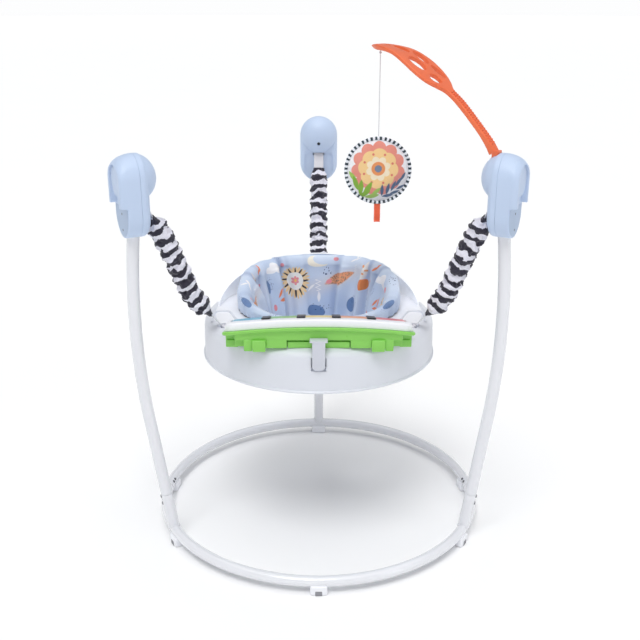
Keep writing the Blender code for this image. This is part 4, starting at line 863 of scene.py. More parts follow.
def sleeveRadius(v, angle, seed):
    # gathers pushed together along the spring, each its own depth and lean
    c, s = cos(angle), sin(angle)
    lean = 0.035 * sin(angle + seed * 2.1 + v * 9) + 0.05 * noiseAt(v * 6, c, s, seed)
    wave = 0.5 - 0.5 * cos(2 * pi * (v + lean) * 10.0)
    crumple = noiseAt(v * 24, c * 1.6, s * 1.6, seed + 3)
    size = hang["sleeveLow"] + 0.0008 + (hang["sleeveHigh"] - hang["sleeveLow"]) * wave ** 0.8
    size += 0.0040 * (0.42 - abs(crumple) * 1.9)
    size += 0.0022 * (0.3 - abs(noiseAt(v * 60, c * 3.4, s * 3.4, seed + 6)))
    wide, thick, reach = (0.0140, 0.0046, 0.095) if v < 0.5 else (0.0106, 0.0046, 0.125)
    neck = 1 / sqrt((c / thick) ** 2 + (s / wide) ** 2)
    share = eased(min(1.0, min(v, 1 - v) / reach))
    return neck + (size - neck) * share + 0.0007 * cos(9 * angle + seed) * (1 - share)


def zebraFinish():
    finish = Finish("zebra_cloth", Roughness=0.86, Sheen_Weight=0.25)
    uv = finish.where("UV")
    around, along, unused = finish.parts(uv)
    warp = finish.cloud(uv, 24, 2, 0.55)
    warpFine = finish.cloud(uv, 80, 2)
    phase = along * 41.0 + (warp - 0.5) * 1.5 + (warpFine - 0.5) * 0.45 + around * 2.0
    band = (phase * (2 * pi)).sine()
    fork = (finish.cloud(finish.vector("MULTIPLY", uv, (0.42, 1.0, 1.0)), 58, 2) - 0.5) * 3.4
    ink = finish.ease(band + fork, -0.16, -0.04)
    weave = threads(finish, uv, 0.0007)
    white = finish.mix(weave, rgb(214, 213, 230), rgb(244, 243, 252))
    black = finish.mix(weave, rgb(26, 24, 38), rgb(50, 47, 64))
    return finish.done(finish.mix(ink, white, black), weave, 0.00012)


webbing, zebra = webbingFinish(), zebraFinish()
for seed, side in enumerate(sides):
    place = towerPlace(side)
    ends = place @ onRoute(hang["strapEnd"])[0], place @ onRoute(linkStart)[0]
    strap = webPiece(0.003, hang["strapEnd"], hang["strapWidth"], 60,
                     Vector((0, head["pinReach"], head["pinHeight"])), 0.012)
    finishPiece("strap_web_" + side, merged(*strap, *stitchRows(0.0011), *stitchRows(-0.0011)),
                webbing, "frame", "strap_" + side, place, 60)
    link = webPiece(linkStart, routeEnd - 0.004, hang["linkWidth"], 40, onRoute(routeEnd)[0],
                    0.009)
    finishPiece("link_web_" + side, merged(*link), webbing, "seat", "link_" + side, place, 60)
    coil = finishPiece("spring_coil_" + side, tube(springLine(), hang["wire"], 8,
                                                   (0.3, 1, 0.2)),
                       steel, None, "spring_" + side, place, 60)
    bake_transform(coil)

    startAt, endAt = hang["sleeveStart"], routeEnd - hang["sleeveLeft"]
    cloth = tube([onRoute(startAt + (endAt - startAt) * s / 150)[0] for s in range(151)],
                 lambda v, angle: sleeveRadius(v, angle, seed), 64, (-1, 0, 0), caps=False)
    area = areaOf(cloth)
    sleeve = finishPiece("sleeve_cloth_" + side, cloth, zebra, None, "sleeve_" + side, place, 80)
    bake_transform(sleeve)
    addModifier(sleeve, "SOLIDIFY", thickness=0.0009, offset=-1)
print("suspension ready")


# tray, deck and the high back
tray = {"radius": 0.2565, "deck": 0.4868, "low": 0.3955, "lip": 0.2605, "wall": 0.003,
        "openX": 0.16006, "openY": 0.15005, "seatY": 0.04502, "slot": 0.233,
        "backRadius": 0.2275, "backRise": 0.072, "backSpan": 84.0, "backLean": 0.010,
        "ovalPower": 2.6}
radius, deck, rim, lip = (tray[key] for key in ("radius", "deck", "low", "lip"))


def oval(angle, halfX, halfY):
    share = 2 / tray["ovalPower"]
    return (halfX * signed(cos(angle), share),
            tray["seatY"] + halfY * signed(sin(angle), share))


def trayLine(inset):
    shoulder = smoothLine([Vector(p + (0,)) for p in (
        (radius - 0.0002 - inset, deck - 0.030), (radius - 0.0006 - inset, deck - 0.022),
        (radius - 0.0018 - inset, deck - 0.0155),
        (radius - 0.0046 - inset * 0.8, deck - 0.0105),
        (radius - 0.0090 - inset * 0.6, deck - 0.0062 - inset * 0.7),
        (radius - 0.0145 - inset * 0.3, deck - 0.0028 - inset),
        (radius - 0.0200, deck - 0.0006 - inset), (radius - 0.0250, deck - inset))], 4)
    return [(p.x, p.y) for p in shoulder] + [(0.09, deck - inset)]


def deckHoles(grow, slack):
    # the seat's opening and the three links' slots, cut with a little room
    holes = [plate([oval(2 * pi * s / 96, tray["openX"] + grow, tray["openY"] + grow)
                    for s in range(96)], deck - 0.02, deck + 0.02, upright=False)]
    for side in sides:
        slot = plate(roundedRectangle((-0.0125 - slack, tray["slot"] - 0.0128 - slack),
                                      (0.0125 + slack, tray["slot"] + 0.0058 + slack), 0.003, 4),
                     deck - 0.01, deck + 0.01, upright=False)
        holes.append(turned(slot, side))
    return holes


outerLine = [(lip - 0.0042, rim + 0.0002), (lip - 0.0014, rim), (lip, rim + 0.0014),
             (lip, rim + 0.0034), (lip - 0.0012, rim + 0.0048), (radius + 0.0010, rim + 0.0056),
             (radius + 0.0007, rim + 0.0080), (radius + 0.0003, deck - 0.045)] + trayLine(0.0)
innerLine = [(lip - 0.0046, rim + 0.0012), (radius - 0.0023, rim + 0.008)] + trayLine(
    tray["wall"])
trayBody = lathe(outerLine + innerLine[::-1], 160, closed=True)
holes = deckHoles(0, 0)
holes.insert(1, block((-0.0155, -0.2625, 0.4435), (0.0155, -0.250, 0.4715)))
# the latch's housing: two ears, a back, two cheeks and a lid
housing = []
for near, far in (mirrored(-1, 0.0168, 0.0216), mirrored(1, 0.0168, 0.0216)):
    housing.append(block((near, -0.2545, 0.443), (far, -0.2415, 0.455), 0.001, 2))
housing.append(block((-0.0235, -0.2372, 0.4365), (0.0235, -0.2357, 0.4770), 0.0005, 2))
for near, far in (mirrored(-1, 0.0225, 0.0240), mirrored(1, 0.0225, 0.0240)):
    housing.append(block((near, -0.2538, 0.4365), (far, -0.2357, 0.4700)))
housing.append(block((-0.0240, -0.2500, 0.4740), (0.0240, -0.2357, 0.4755)))
# the tray's moulding in the greyer copy of the white plastic: painted shade on its wall
finishPiece("tray_body", carved(trayBody, holes, housing, 0.0009), shadedTrayPlastic, "seat",
            "tray_shell", sharp=50)


def ridge(dots, width, rise):
    # a low raised line on the deck
    line = smoothLine([Vector((x, y, deck)) for x, y in dots], 8)

    def place(u, v):
        row = round(v * (len(line) - 1))
        way = (line[min(row + 1, len(line) - 1)] - line[max(row - 1, 0)]).normalized()
        fade = min(1.0, 8 * v, 8 * (1 - v)) ** 0.5
        return (line[row] + Vector((way.y, -way.x, 0)) * (width * (u - 0.5) * 2)
                + Vector((0, 0, rise * fade * sin(pi * u) ** 0.7 - 0.0004)))

    return formed(10, len(line) - 1, place, 2 * width, lengthOf(line))


deckRidges = []
for across in (-1, 1):
    for width, rise, dots in (
            (0.0028, 0.0046, ((0.2325, -0.0760), (0.2335, -0.0420), (0.2285, -0.0195),
                              (0.2130, -0.0145), (0.1990, -0.0200), (0.1890, -0.0430),
                              (0.1810, -0.0640), (0.1710, -0.0790))),
            (0.0018, 0.0012, ((0.2405, -0.030), (0.2360, 0.005), (0.2290, 0.042),
                              (0.2150, 0.080)))):
        deckRidges.append(ridge([(across * x, y) for x, y in dots], width, rise))
deckRidges.append(ridge([oval(2 * pi * s / 96, tray["openX"] + 0.0145, tray["openY"] + 0.0145)
                         for s in range(4, 46)], 0.0020, 0.0014))
# the ridges in the greyer tray plastic: painted shade that makes the low lines show
finishPiece("deck_ridges", merged(*deckRidges), shadedTrayPlastic, "seat", sharp=None)

# the deck's top as a white sheet over the greyer tray: painted light, the top lighter than the
# wall
litDeckTop = lathe([(0.155, deck + 0.0002), (0.2312, deck + 0.0002), (0.2312, deck - 0.0010),
                 (0.155, deck - 0.0010)], 160, closed=True)
finishPiece("deck_face", carved(litDeckTop, deckHoles(0.0002, 0.0002)), whitePlastic, "seat")

# the back: a thin wall with a rolled edge, highest at the rear
backOutline = [(0.0, 0.0), (0.003, 0.0), (0.003, 0.55), (0.0030, 0.90), (0.0046, 0.93),
               (0.0052, 0.965), (0.0042, 0.995), (0.0020, 1.0), (-0.0002, 0.985),
               (-0.0002, 0.95), (0.0, 0.90), (0.0, 0.5)]


def backPlace(u, v):
    turn = tray["backSpan"] * (2 * v - 1)
    rise = tray["backRise"] * max(cos(radians(turn)), 0.0) ** 0.8
    offset, share = backOutline[round(u * len(backOutline)) % len(backOutline)]
    reach = tray["backRadius"] + offset - tray["backLean"] * share * rise / tray["backRise"]
    angle = radians(90 - turn)
    return Vector((reach * cos(angle), reach * sin(angle), deck + 0.0003 + rise * share))


backWall = capped(formed(len(backOutline), 120, backPlace))
notch = turned(block((-0.0125, tray["slot"] - 0.0068, deck - 0.01),
                     (0.0125, tray["slot"] + 0.03, deck + 0.03)), "rear")
finishPiece("back_wall", carved(backWall, [notch]), shellPlastic, "seat", "back_shell", sharp=50)
print("tray ready")


# seat: its ring stays inside the fabric's collar
seat = {"ringX": 0.16606, "ringY": 0.15605, "front": 0.502, "rise": 0.053, "low": 0.296,
        "around": 240, "down": 110, "legHole": 0.04694, "collarShare": 0.20, "girth": 1.02,
        "flat": 1.05}
dressed("seat_ring", whitePlastic)

# offsets from the ring and its top; shares of the opening and of the pouch's depth
collarLine = ((0.0084, -0.0400), (0.0096, -0.0300), (0.0100, -0.0180), (0.0098, -0.0080),
              (0.0086, -0.0010), (0.0058, 0.0032), (0.0012, 0.0037), (-0.0056, 0.0010),
              (-0.0112, -0.0060), (-0.0150, -0.0160))
pouchLine = ((0.868, 0.930), (0.852, 0.850), (0.838, 0.750), (0.812, 0.624), (0.722, 0.414),
             (0.520, 0.200), (0.320, 0.072), (0.130, 0.012), (0.004, 0.000))
folds = [(radians(a), depth, width, hand) for a, depth, width, hand in (
    (131, 0.0230, 0.17, 1), (112, 0.0065, 0.10, -1), (149, 0.0110, 0.12, -1),
    (168, 0.0200, 0.14, 1), (96, 0.0050, 0.09, 1), (73, 0.0150, 0.14, -1),
    (51, 0.0160, 0.14, 1), (33, 0.0080, 0.10, 1), (16, 0.0190, 0.14, -1),
    (193, 0.0060, 0.16, -1), (-12, 0.0060, 0.16, 1), (215, 0.0070, 0.18, 1),
    (-42, 0.0070, 0.18, -1), (245, 0.0050, 0.20, 1), (-70, 0.0050, 0.20, -1),
    (-90, 0.0030, 0.16, 1))]


def foldDepth(angle, fall):
    # pleats: a slow swell on one side of each, a quick drop on the other
    depth = 0.0
    for middle, most, width, hand in folds:
        away = (angle - middle - 0.08 * sin(fall * 2.4 + middle * 5) + pi) % (2 * pi) - pi
        away *= hand / width
        depth += most * exp(-away * away * (1.1 if away > 0 else 40.0))
        depth -= 0.35 * most * exp(-((away + 0.75) ** 2) * 3.0)
    return depth


def seatPlace(u, v):
    angle, split = 2 * pi * u, seat["collarShare"]
    share = (oval(angle, 0, seat["ringY"])[1] - tray["seatY"] + seat["ringY"]) / (
        2 * seat["ringY"])
    top = seat["front"] + seat["rise"] * (1 - (1 - min(max(share, 0.0), 1.0)) ** 1.3)
    if v <= split:
        row = v / split * (len(collarLine) - 1)
        i = min(int(row), len(collarLine) - 2)
        off, rise = (a + (b - a) * (row - i) for a, b in zip(collarLine[i], collarLine[i + 1]))
        if rise < 0 and i < 5:
            rise *= min(1.0, max(top - deck - 0.004, 0.006) / 0.040)
        ruffle = 0.0012 * sin(46 * angle + 2 * sin(5 * angle)) * max(0, 1 - v / split * 2.2)
        off += ruffle + 0.0008 * noiseAt(cos(angle) * 9, sin(angle) * 9, v * 12)
        pinch = foldDepth(angle, 0.0)
        if off > 0:
            off += 0.0080 * cos(angle) ** 6 * min(1.0, off / 0.008)
            off -= 0.12 * abs(pinch) * min(1.0, v / split * 1.6)
        else:
            off -= 0.40 * pinch * min(1.0, -off / 0.018)
        rise -= 0.10 * abs(pinch) * (1 if rise > -0.012 else 0)
        x, y = oval(angle, seat["ringX"] + off, seat["ringY"] + off)
        return Vector((x, y, top + rise))
    fall = (v - split) / (1 - split)
    row = (fall ** 0.85) * (len(pouchLine) - 1)
    i = min(int(row), len(pouchLine) - 2)
    near = [pouchLine[max(i - 1, 0)], pouchLine[i], pouchLine[i + 1],
            pouchLine[min(i + 2, len(pouchLine) - 1)]]
    reach, share = (throughFour(*values, row - i) for values in zip(*near))
    height = seat["low"] + (deck - seat["low"]) * min(share, 1.0)
    collarX, collarY = oval(angle, seat["ringX"] - 0.0150, seat["ringY"] - 0.0150)
    pouchX, pouchY = oval(angle, tray["openX"] * reach, tray["openY"] * reach)
    pouchY -= tray["seatY"] * (1 - height / deck)
    join = eased(min(1.0, fall / 0.30))
    x = collarX + (pouchX - collarX) * join
    y = collarY + (pouchY - collarY) * join
    level = top - 0.016
    z = level + (height - level) * min(1.0, fall / 0.30)
    inward = Vector((-x, tray["seatY"] * 0.7 - y, 0))
    far = inward.length
    amount = foldDepth(angle, fall) * min(1.0, 0.50 + fall * 4) * min(1.0, far / 0.09)
    amount += 0.0018 * noiseAt(x * 28, y * 28, z * 20, 5) * min(1.0, fall * 6)
    amount += 0.0007 * noiseAt(x * 90, y * 90, z * 60, 9) * min(1.0, fall * 8)
    return Vector((x, y, z)) + (inward / far * amount if far > 1e-5 else Vector())


seatCloth = formed(seat["around"], seat["down"], seatPlace, seat["girth"], 0.44)
legAxes = [(Vector((across * 0.05506, 0.03502, 0.35515)),
            Vector((across * 0.55, -1.0, -0.32)).normalized()) for across in (-1, 1)]
doomed = []
for face in seatCloth.faces:
    for start, out in legAxes:
        away = face.calc_center_median() - start
        run = away.dot(out)
        if 0 < run < 0.17 and (away - out * run).length < seat["legHole"]:
            doomed.append(face)
bmesh.ops.delete(seatCloth, geom=doomed, context="FACES")
holeRims = [[], []]
for vert in seatCloth.verts:
    if not any(e.is_boundary for e in vert.link_edges) or vert.co.z > 0.47:
        continue
    which = 0 if vert.co.x < 0 else 1
    start, out = legAxes[which]
    run = (vert.co - start).dot(out)
    across = vert.co - start - out * run
    vert.co = start + out * run + across.normalized() * seat["legHole"]
    holeRims[which].append(vert.co.copy())
cuffs = []
for (start, out), spots in zip(legAxes, holeRims):
    left = out.cross(Vector((0, 0, 1))).normalized()
    up = left.cross(out)
    spots.sort(key=lambda p: atan2((p - start).dot(up), (p - start).dot(left)))
    even = [spots[round(k * len(spots) / 40) % len(spots)] for k in range(40)]
    for unused in range(2):
        even = [(even[k - 1] + even[k] * 2 + even[(k + 1) % 40]) / 4 for k in range(40)]
    cuffs.append(tube(smoothLine(even, 4, closed=True), 0.0028, 14, closed=True))
seatArea = areaOf(seatCloth)


def seatFinish():
    finish = Finish("seat_cloth", Roughness=0.56, Sheen_Weight=0.2)
    raw = finish.where("UV")
    wobble = finish.node("TexNoise", {}, {"Vector": raw, "Scale": 40.0}, "Color")
    wobble = finish.vector("SUBTRACT", wobble, (0.5, 0.5, 0.5))
    cloth = finish.vector("ADD", raw, finish.vector("MULTIPLY", wobble, (0.004, 0.004, 0)))
    colour = finish.mix(finish.ease(finish.cloud(raw, 9, 2), 0.38, 0.66), rgb(213, 226, 246),
                        rgb(192, 210, 238))
    # one repeat of the print, upright on the inside of the back, its middle at (0, 0)
    repeat = (0.340, 0.200)
    uv = finish.vector("DIVIDE", finish.vector("SUBTRACT", (0.425, 0.225, 0), cloth),
                       repeat + (1,))
    uv = finish.vector("SUBTRACT", finish.vector("FRACTION", uv), (0.5, 0.5, 0))
    uv = finish.vector("MULTIPLY", uv, repeat + (0,))
    spot, leaf, petals = brushes(finish, uv)
    dots = finish.ease(finish.cells(cloth, 330), 0.30, 0.22)
    bold = finish.ease(finish.cells(cloth, 270), 0.42, 0.32)
    dash = finish.ease(finish.cells(finish.vector("MULTIPLY", uv, (1.0, 0.42, 1.0)), 300),
                       0.32, 0.25)
    navy, slate, peach = rgb(48, 74, 126), rgb(104, 136, 184), rgb(238, 150, 158)
    snow, tan, bloom = rgb(248, 248, 252), rgb(240, 142, 80), (-0.050, -0.006)
    marks = [(spot(*mark, 0, 0.05), snow) for mark in (
        (-0.132, 0.034, 0.018, 0.010), (-0.117, 0.041, 0.015, 0.013),
        (-0.102, 0.032, 0.014, 0.009))]
    for x, y, *size in ((-0.156, -0.006, 0.011, 0.017, 0.3), (0.088, -0.050, 0.018, 0.012, 0.1),
                        (-0.006, -0.064, 0.016, 0.010, -0.2), (0.006, 0.078, 0.024, 0.012, 0.0)):
        marks.append((spot(x, y, *size, 0.05), slate))
        marks.append((dots * spot(x + 0.012, y + 0.006, *size, 0.05), navy))
    bigLeaf = leaf(0.046, 0.000, 0.082, 0.046, 0.42)
    marks += [(bigLeaf, tan), (bigLeaf * bold, rgb(58, 36, 34)),
              (leaf(0.046, 0.000, 0.078, 0.0034, 0.42), rgb(250, 222, 194)),
              (petals(*bloom, 0.0235, 0.0370, 26, 0.1), rgb(246, 214, 164)),
              (petals(*bloom, 0.0150, 0.0345, 12, 0.2, 5.0), rgb(52, 46, 58)),
              (spot(*bloom, 0.0205, 0.0205, 0, 0.03), rgb(244, 242, 240)),
              (petals(*bloom, 0.0050, 0.0100, 6), peach),
              (spot(*bloom, 0.0034, 0.0034), rgb(246, 196, 110)),
              (leaf(0.122, 0.026, 0.066, 0.030, 1.45), rgb(243, 238, 236)),
              (spot(0.125, -0.006, 0.0150, 0.0130, 0, 0.04), tan)]
    marks += [(spot(x, y, 0.0042, 0.0034), rgb(240, 168, 110))
              for x, y in ((0.116, 0.044), (0.128, 0.034), (0.120, 0.022))]
    moon = spot(-0.002, 0.044, 0.0155, 0.0155, 0, 0.03)
    marks.append((moon * (1 - spot(0.006, 0.050, 0.0130, 0.0130, 0, 0.03)),
                  rgb(252, 246, 230)))
    across, up, unused = finish.parts(uv)
    saw = abs((up / 0.0076).sum("FRACT") - 0.5) * 0.012
    for x, start in ((-0.092, -0.030), (0.090, 0.018), (0.002, -0.030)):
        zig = finish.ease(abs(across + saw - x), 0.0012, 0.0007)
        marks.append((zig * (up > start) * (up < start + 0.024), snow))
    marks += [(dash * spot(*mark, 0.25, 0.05), rgb(62, 84, 132)) for mark in (
        (0.012, 0.012, 0.009, 0.017), (-0.090, 0.068, 0.012, 0.010),
        (0.150, -0.034, 0.010, 0.016))]
    for length, width, paint, leaves in (
            (0.024, 0.011, rgb(238, 136, 92), (
                (-0.118, -0.024, 0.9), (-0.106, -0.020, 1.5), (-0.112, -0.036, 0.2),
                (0.160, 0.046, 0.6), (0.168, 0.058, 1.3))),
            (0.020, 0.0075, snow, (
                (0.078, 0.052, 0.6), (0.088, 0.060, 1.1), (0.082, 0.068, 1.8),
                (-0.012, -0.024, 0.8), (0.0, -0.040, 1.6)))):
        marks += [(leaf(x, y, length, width, turn), paint) for x, y, turn in leaves]
    marks += [(spot(x, y, 0.0055, 0.0050), peach) for x, y in (
        (-0.082, 0.040), (0.030, 0.050), (0.150, 0.004), (-0.140, -0.050), (0.016, -0.012))]
    colour = finish.layered(colour, marks)
    # painted shade: the print darkened along the folds' grooves, where shade falls
    across, up, unused = finish.parts(raw)
    for middle, most, width, hand in folds:
        lean = (up * 6.82 + (middle * 5 - 0.6)).sine() * 0.08
        groove = (middle - 0.50 * width * hand) % (2 * pi)
        away = abs(across * (2 * pi / seat["girth"]) - lean - groove)
        colour = finish.mix(finish.ease(away, 0.62 * width, 0.04 * width) * (most * 34), colour,
                            (0.50, 0.55, 0.68, 1), "MULTIPLY")
    return printed(finish, colour, raw, 0.0008, (0.92, 0.92, 0.93, 1), 0.00012)


seatPrint = seatFinish()
seatPiece = finishPiece("seat_sling", seatCloth, seatPrint, "seat", "seat_fabric", sharp=None)
addModifier(seatPiece, "SOLIDIFY", thickness=0.0016, offset=0.0)
cuffPiece = finishPiece("leg_cuffs", merged(*cuffs), seatPrint, "seat", sharp=None)
print("seat ready")


# toy piano on the tray's front
piano = {"half": 0.1935, "tilt": 0.27, "crown": 0.011, "front": -0.246, "back": -0.132,
         "baseHalf": 0.168, "baseFront": -0.240, "floor": 0.4871, "step": 0.01655,
         "lipLow": 0.5262, "lipHigh": 0.532, "coverHigh": 0.549, "keybed": 0.5385,
         "keybedHalf": 0.18, "keyTop": 0.5486, "keyThick": 0.006, "pitch": 0.0715,
         "keyRear": -0.19149, "keyFree": -0.13001, "keyGap": 0.0012}
wide, base, front, back, floor, lipHigh, coverHigh, rear = (
    piano[key] for key in ("half", "baseHalf", "baseFront", "back", "floor", "lipHigh",
                           "coverHigh", "keyRear"))


def bent(source, above=0.0, slices=30):
    # sliced across, then bent to the crowned and tilted top
    bm = merged(source) if isinstance(source, bpy.types.Mesh) else source
    xs = [v.co.x for v in bm.verts]
    for s in range(1, slices):
        x = wide * (2 * s / slices - 1)
        if min(xs) + 0.001 < x < max(xs) - 0.001:
            bmesh.ops.bisect_plane(bm, geom=bm.verts[:] + bm.edges[:] + bm.faces[:],
                                   plane_co=(x, 0, 0), plane_no=(1, 0, 0), dist=1e-5)
    for vert in bm.verts:
        if vert.co.z > above:
            vert.co.z -= (piano["crown"] * (vert.co.x / wide) ** 2
                          + piano["tilt"] * (vert.co.y - front))
    bmesh.ops.triangulate(bm, faces=[f for f in bm.faces if len(f.verts) > 4])
    return bm


upper, top = floor + piano["step"], piano["lipLow"] + 0.002
lipRim = plate(roundedRectangle((-wide, piano["front"]), (wide, back), 0.016, 10),
               piano["lipLow"] - 0.0020, lipHigh, 0.0036, 0.0026, upright=False)
caseParts = [lipRim, block((-base, front, upper), (base, front + 0.030, top), 0.0018),
             block((-base, front + 0.011, floor), (base, back - 0.008, top), 0.0015),
             block((-0.37 * base, front + 0.0035, floor - 0.0006),
                   (0.37 * base, front + 0.02, upper - 0.004), 0.0012)]
for across in (-1, 1):
    for near, far, out in ((0.63, 0.79, 0.0065), (0.38, 0.63, -0.0005), (0.79, 0.893, 0.001)):
        a, b = mirrored(across, near * base, far * base)
        caseParts.append(block((a, front - out, floor), (b, front + 0.014, upper + 0.002),
                               0.0014))
        if near > 0.6:
            caseParts.append(block((a + 0.0006, front - out + 0.0006, 0.4815),
                                   (b - 0.0006, front + 0.0005, upper), 0.0012))
    a, b = mirrored(across, base - 0.002, base + 0.0225)
    caseParts.append(block((a, front + 0.044, 0.4725), (b, front + 0.082, top), 0.0018))
    a, b = mirrored(across, base + 0.0015, base + 0.0195)
    caseParts.append(block((a, front + 0.0405, 0.4765), (b, front + 0.050, 0.4900), 0.0012))
# small ribs under the lip
for reach, depth, shares in ((0.0025, 0.008, (-0.56, -0.50, -0.44, 0.44, 0.50, 0.56)),
                             (0.0095, 0.014, (-0.30, -0.10, 0.10, 0.30))):
    for share in shares:
        x = share * base
        caseParts.append(block((x - 0.0012, front + reach, floor + 0.001),
                               (x + 0.0012, front + depth, upper), 0.0005, 2))
finishPiece("piano_case", merged(*[bent(part, upper + 0.010) for part in caseParts]),
            greenPlastic, "station", "station_base", sharp=30)

cover = plate(roundedRectangle((0.0055 - wide, piano["front"] + 0.0055),
                               (wide - 0.0055, back - 0.003), 0.018, 10),
              lipHigh + 0.0003, coverHigh, 0.0006, 0.0055, upright=False)
coverCuts = [block((-piano["keybedHalf"], rear - 0.0005, piano["keybed"]),
                   (piano["keybedHalf"], back + 0.03, coverHigh + 0.02))]
for across in (-1, 1):
    for k in range(5):
        x = across * (0.118 + 0.0048 * k)
        coverCuts.append(block((x - 0.0010, -0.2265, 0.5475), (x + 0.0010, -0.2085, 0.552)))
finishPiece("piano_cover", bent(carved(cover, coverCuts, (), 0.0006)), whitePlastic, "station",
            "station_cover", sharp=35)

blackParts = []
for share in (-1.5, -0.5, 0.5, 1.5):
    x = share * piano["pitch"]
    blackParts += [block((x - 0.006, rear - 0.0125, coverHigh - 0.004),
                         (x + 0.006, rear - 0.007, coverHigh + 0.0012)),
                   block((x - 0.009, rear - 0.0145, coverHigh + 0.0003),
                         (x + 0.009, piano["keyFree"] - 0.022, coverHigh + 0.0035), 0.0013)]
finishPiece("black_key_row", merged(*[bent(part) for part in blackParts]), blackPlastic,
            "station", "black_keys", sharp=35)

for index, (name, plastic) in enumerate(keyPlastics.items()):
    x, keyHalf = (index - 2) * piano["pitch"], (piano["pitch"] - piano["keyGap"]) / 2
    key = block((x - keyHalf, rear, piano["keyTop"] - piano["keyThick"]),
                (x + keyHalf, piano["keyFree"], piano["keyTop"]), 0.0016, 4)
    finishPiece("piano_key_" + name, bent(key), plastic, "key_" + name, "key_" + name, sharp=35)

for name, plastic in (("circuit_board", boardGreen), ("speaker", blackPlastic),
                      ("battery_door", greenPlastic), ("battery_left", steel),
                      ("battery_right", steel), ("power_switch", blackPlastic)):
    dressed(name, plastic)
print("toy piano ready")


# latch at the tray's front
latch = {"half": 0.013, "thick": 0.003, "face": -0.2615, "low": 0.4465, "top": 0.5095,
         "pivotY": -0.2465, "pivotZ": 0.449, "foot": 0.008}
half, face, top, y, z = (latch[key] for key in ("half", "face", "top", "pivotY", "pivotZ"))
foot = [(half * cos(pi + pi * s / 20), latch["low"] + latch["foot"]
         + latch["foot"] * sin(pi + pi * s / 20)) for s in range(21)]
latchParts = [plate(foot + [(half, top - 0.001), (-half, top - 0.001)], face,
                    face + latch["thick"], 0.0010, 0.0006),
              plate(roundedRectangle((-0.018, top - 0.0030), (0.018, top), 0.0012, 4),
                    face - 0.0004, -0.2408, 0.0006, 0.0006),
              block((-0.010, face + 0.001, z - 0.0018), (0.010, y, z + 0.0018), 0.0005),
              rod((-0.016, y, z), (0.016, y, z), 0.0032, 24, bevel=0.0004),
              rod((-0.0188, y, z), (0.0188, y, z), 0.0020, 20)]
finishPiece("latch_lever", merged(*latchParts), greyPlastic, "latch", "latch", sharp=35)
print("latch ready")


# toy bar: a thin stem that widens to a leaf with openings
# rows are distance, height above the head, width and thickness
bar = {"end": 0.2918,
       "rows": ((0.000, 0.0030, 0.021, 0.0140), (0.0095, 0.0167, 0.021, 0.0125),
                (0.032, 0.0415, 0.022, 0.0095), (0.079, 0.0895, 0.023, 0.0090),
                (0.106, 0.111, 0.027, 0.0085), (0.120, 0.121, 0.056, 0.0080),
                (0.137, 0.132, 0.086, 0.0075), (0.160, 0.149, 0.100, 0.0075),
                (0.186, 0.167, 0.098, 0.0075), (0.214, 0.182, 0.084, 0.0080),
                (0.241, 0.1895, 0.067, 0.0090), (0.270, 0.1935, 0.040, 0.0110),
                (0.284, 0.1926, 0.020, 0.0080), (0.292, 0.1908, 0.006, 0.0030)),
       "openings": ((0.256, 0.003, 0.0065, 0.0040, 0), (0.226, 0.007, 0.0205, 0.0105, 8),
                    (0.190, 0.0225, 0.0225, 0.0115, 5), (0.1515, 0.0275, 0.0205, 0.0095, -9),
                    (0.176, -0.0130, 0.0230, 0.0165, -3), (0.1365, -0.0085, 0.0150, 0.0150, 0)),
       "bumps": 22, "bumpFrom": 0.010, "bumpPitch": 0.0044}


def barValues(distance):
    rows = bar["rows"]
    i = next((k for k in range(1, len(rows)) if rows[k][0] >= distance), len(rows) - 1)
    a, b = rows[i - 1], rows[i]
    before, after = rows[max(i - 2, 0)], rows[min(i + 1, len(rows) - 1)]
    run = b[0] - a[0]
    t = (distance - a[0]) / run
    values = []
    for k in (1, 2, 3):
        lead = (b[k] - before[k]) / (b[0] - before[0]) * run
        trail = (after[k] - a[k]) / (after[0] - a[0]) * run
        values.append(a[k] * (1 + 2 * t) * (1 - t) ** 2 + lead * t * (1 - t) ** 2
                      + b[k] * t * t * (3 - 2 * t) + trail * t * t * (t - 1))
    return high + values[0], values[1], values[2]


def barFrame(distance):
    near, far = max(distance - 0.001, 0.0), min(distance + 0.001, 0.2919)
    rise = (barValues(far)[0] - barValues(near)[0]) / (far - near)
    place = barBase + barHeading * distance
    place.z = barValues(distance)[0]
    along = (barHeading + Vector((0, 0, rise))).normalized()
    side = Vector((barHeading.y, -barHeading.x, 0))
    return place, along, side, side.cross(along).normalized()


def barPlace(u, v):
    place, along, side, out = barFrame(bar["end"] * v)
    level, width, thick = barValues(bar["end"] * v)
    angle = 2 * pi * u
    return (place + side * (width / 2 * signed(cos(angle), 0.20))
            - out * (thick / 2 - thick / 2 * signed(sin(angle), 0.26)))


def stoodAt(place, *ways):
    return Matrix.Translation(place) @ Matrix(ways).transposed().to_4x4()


barBody = capped(formed(56, 130, barPlace))
windows = []
for distance, across, halfLong, halfWide, turn in bar["openings"]:
    place, along, side, out = barFrame(distance)
    turn = radians(turn)
    windows.append(moved(rod((0, 0, -0.03), (0, 0, 0.03), 1.0, 48), stoodAt(
        place + side * across, (along * cos(turn) + side * sin(turn)) * halfLong,
        (side * cos(turn) - along * sin(turn)) * halfWide, out)))
plug = moved(block((-0.0062, -0.0098, high - 0.024), (0.0062, 0.0098, high + 0.004), 0.001, 2),
             barStand)
bumps = []
for k in range(bar["bumps"]):
    distance = bar["bumpFrom"] + k * bar["bumpPitch"]
    place, along, side, out = barFrame(distance)
    for across in (-1, 1):
        bump = bmesh.new()
        bmesh.ops.create_icosphere(bump, subdivisions=2, radius=1.0)
        aside = side * (across * 0.3 * barValues(distance)[1] * 0.72) + along * (across * 0.0011)
        bumps.append(moved(bump, stoodAt(place + aside, along * 0.0016, side * 0.0042,
                                         out * 0.0028)))
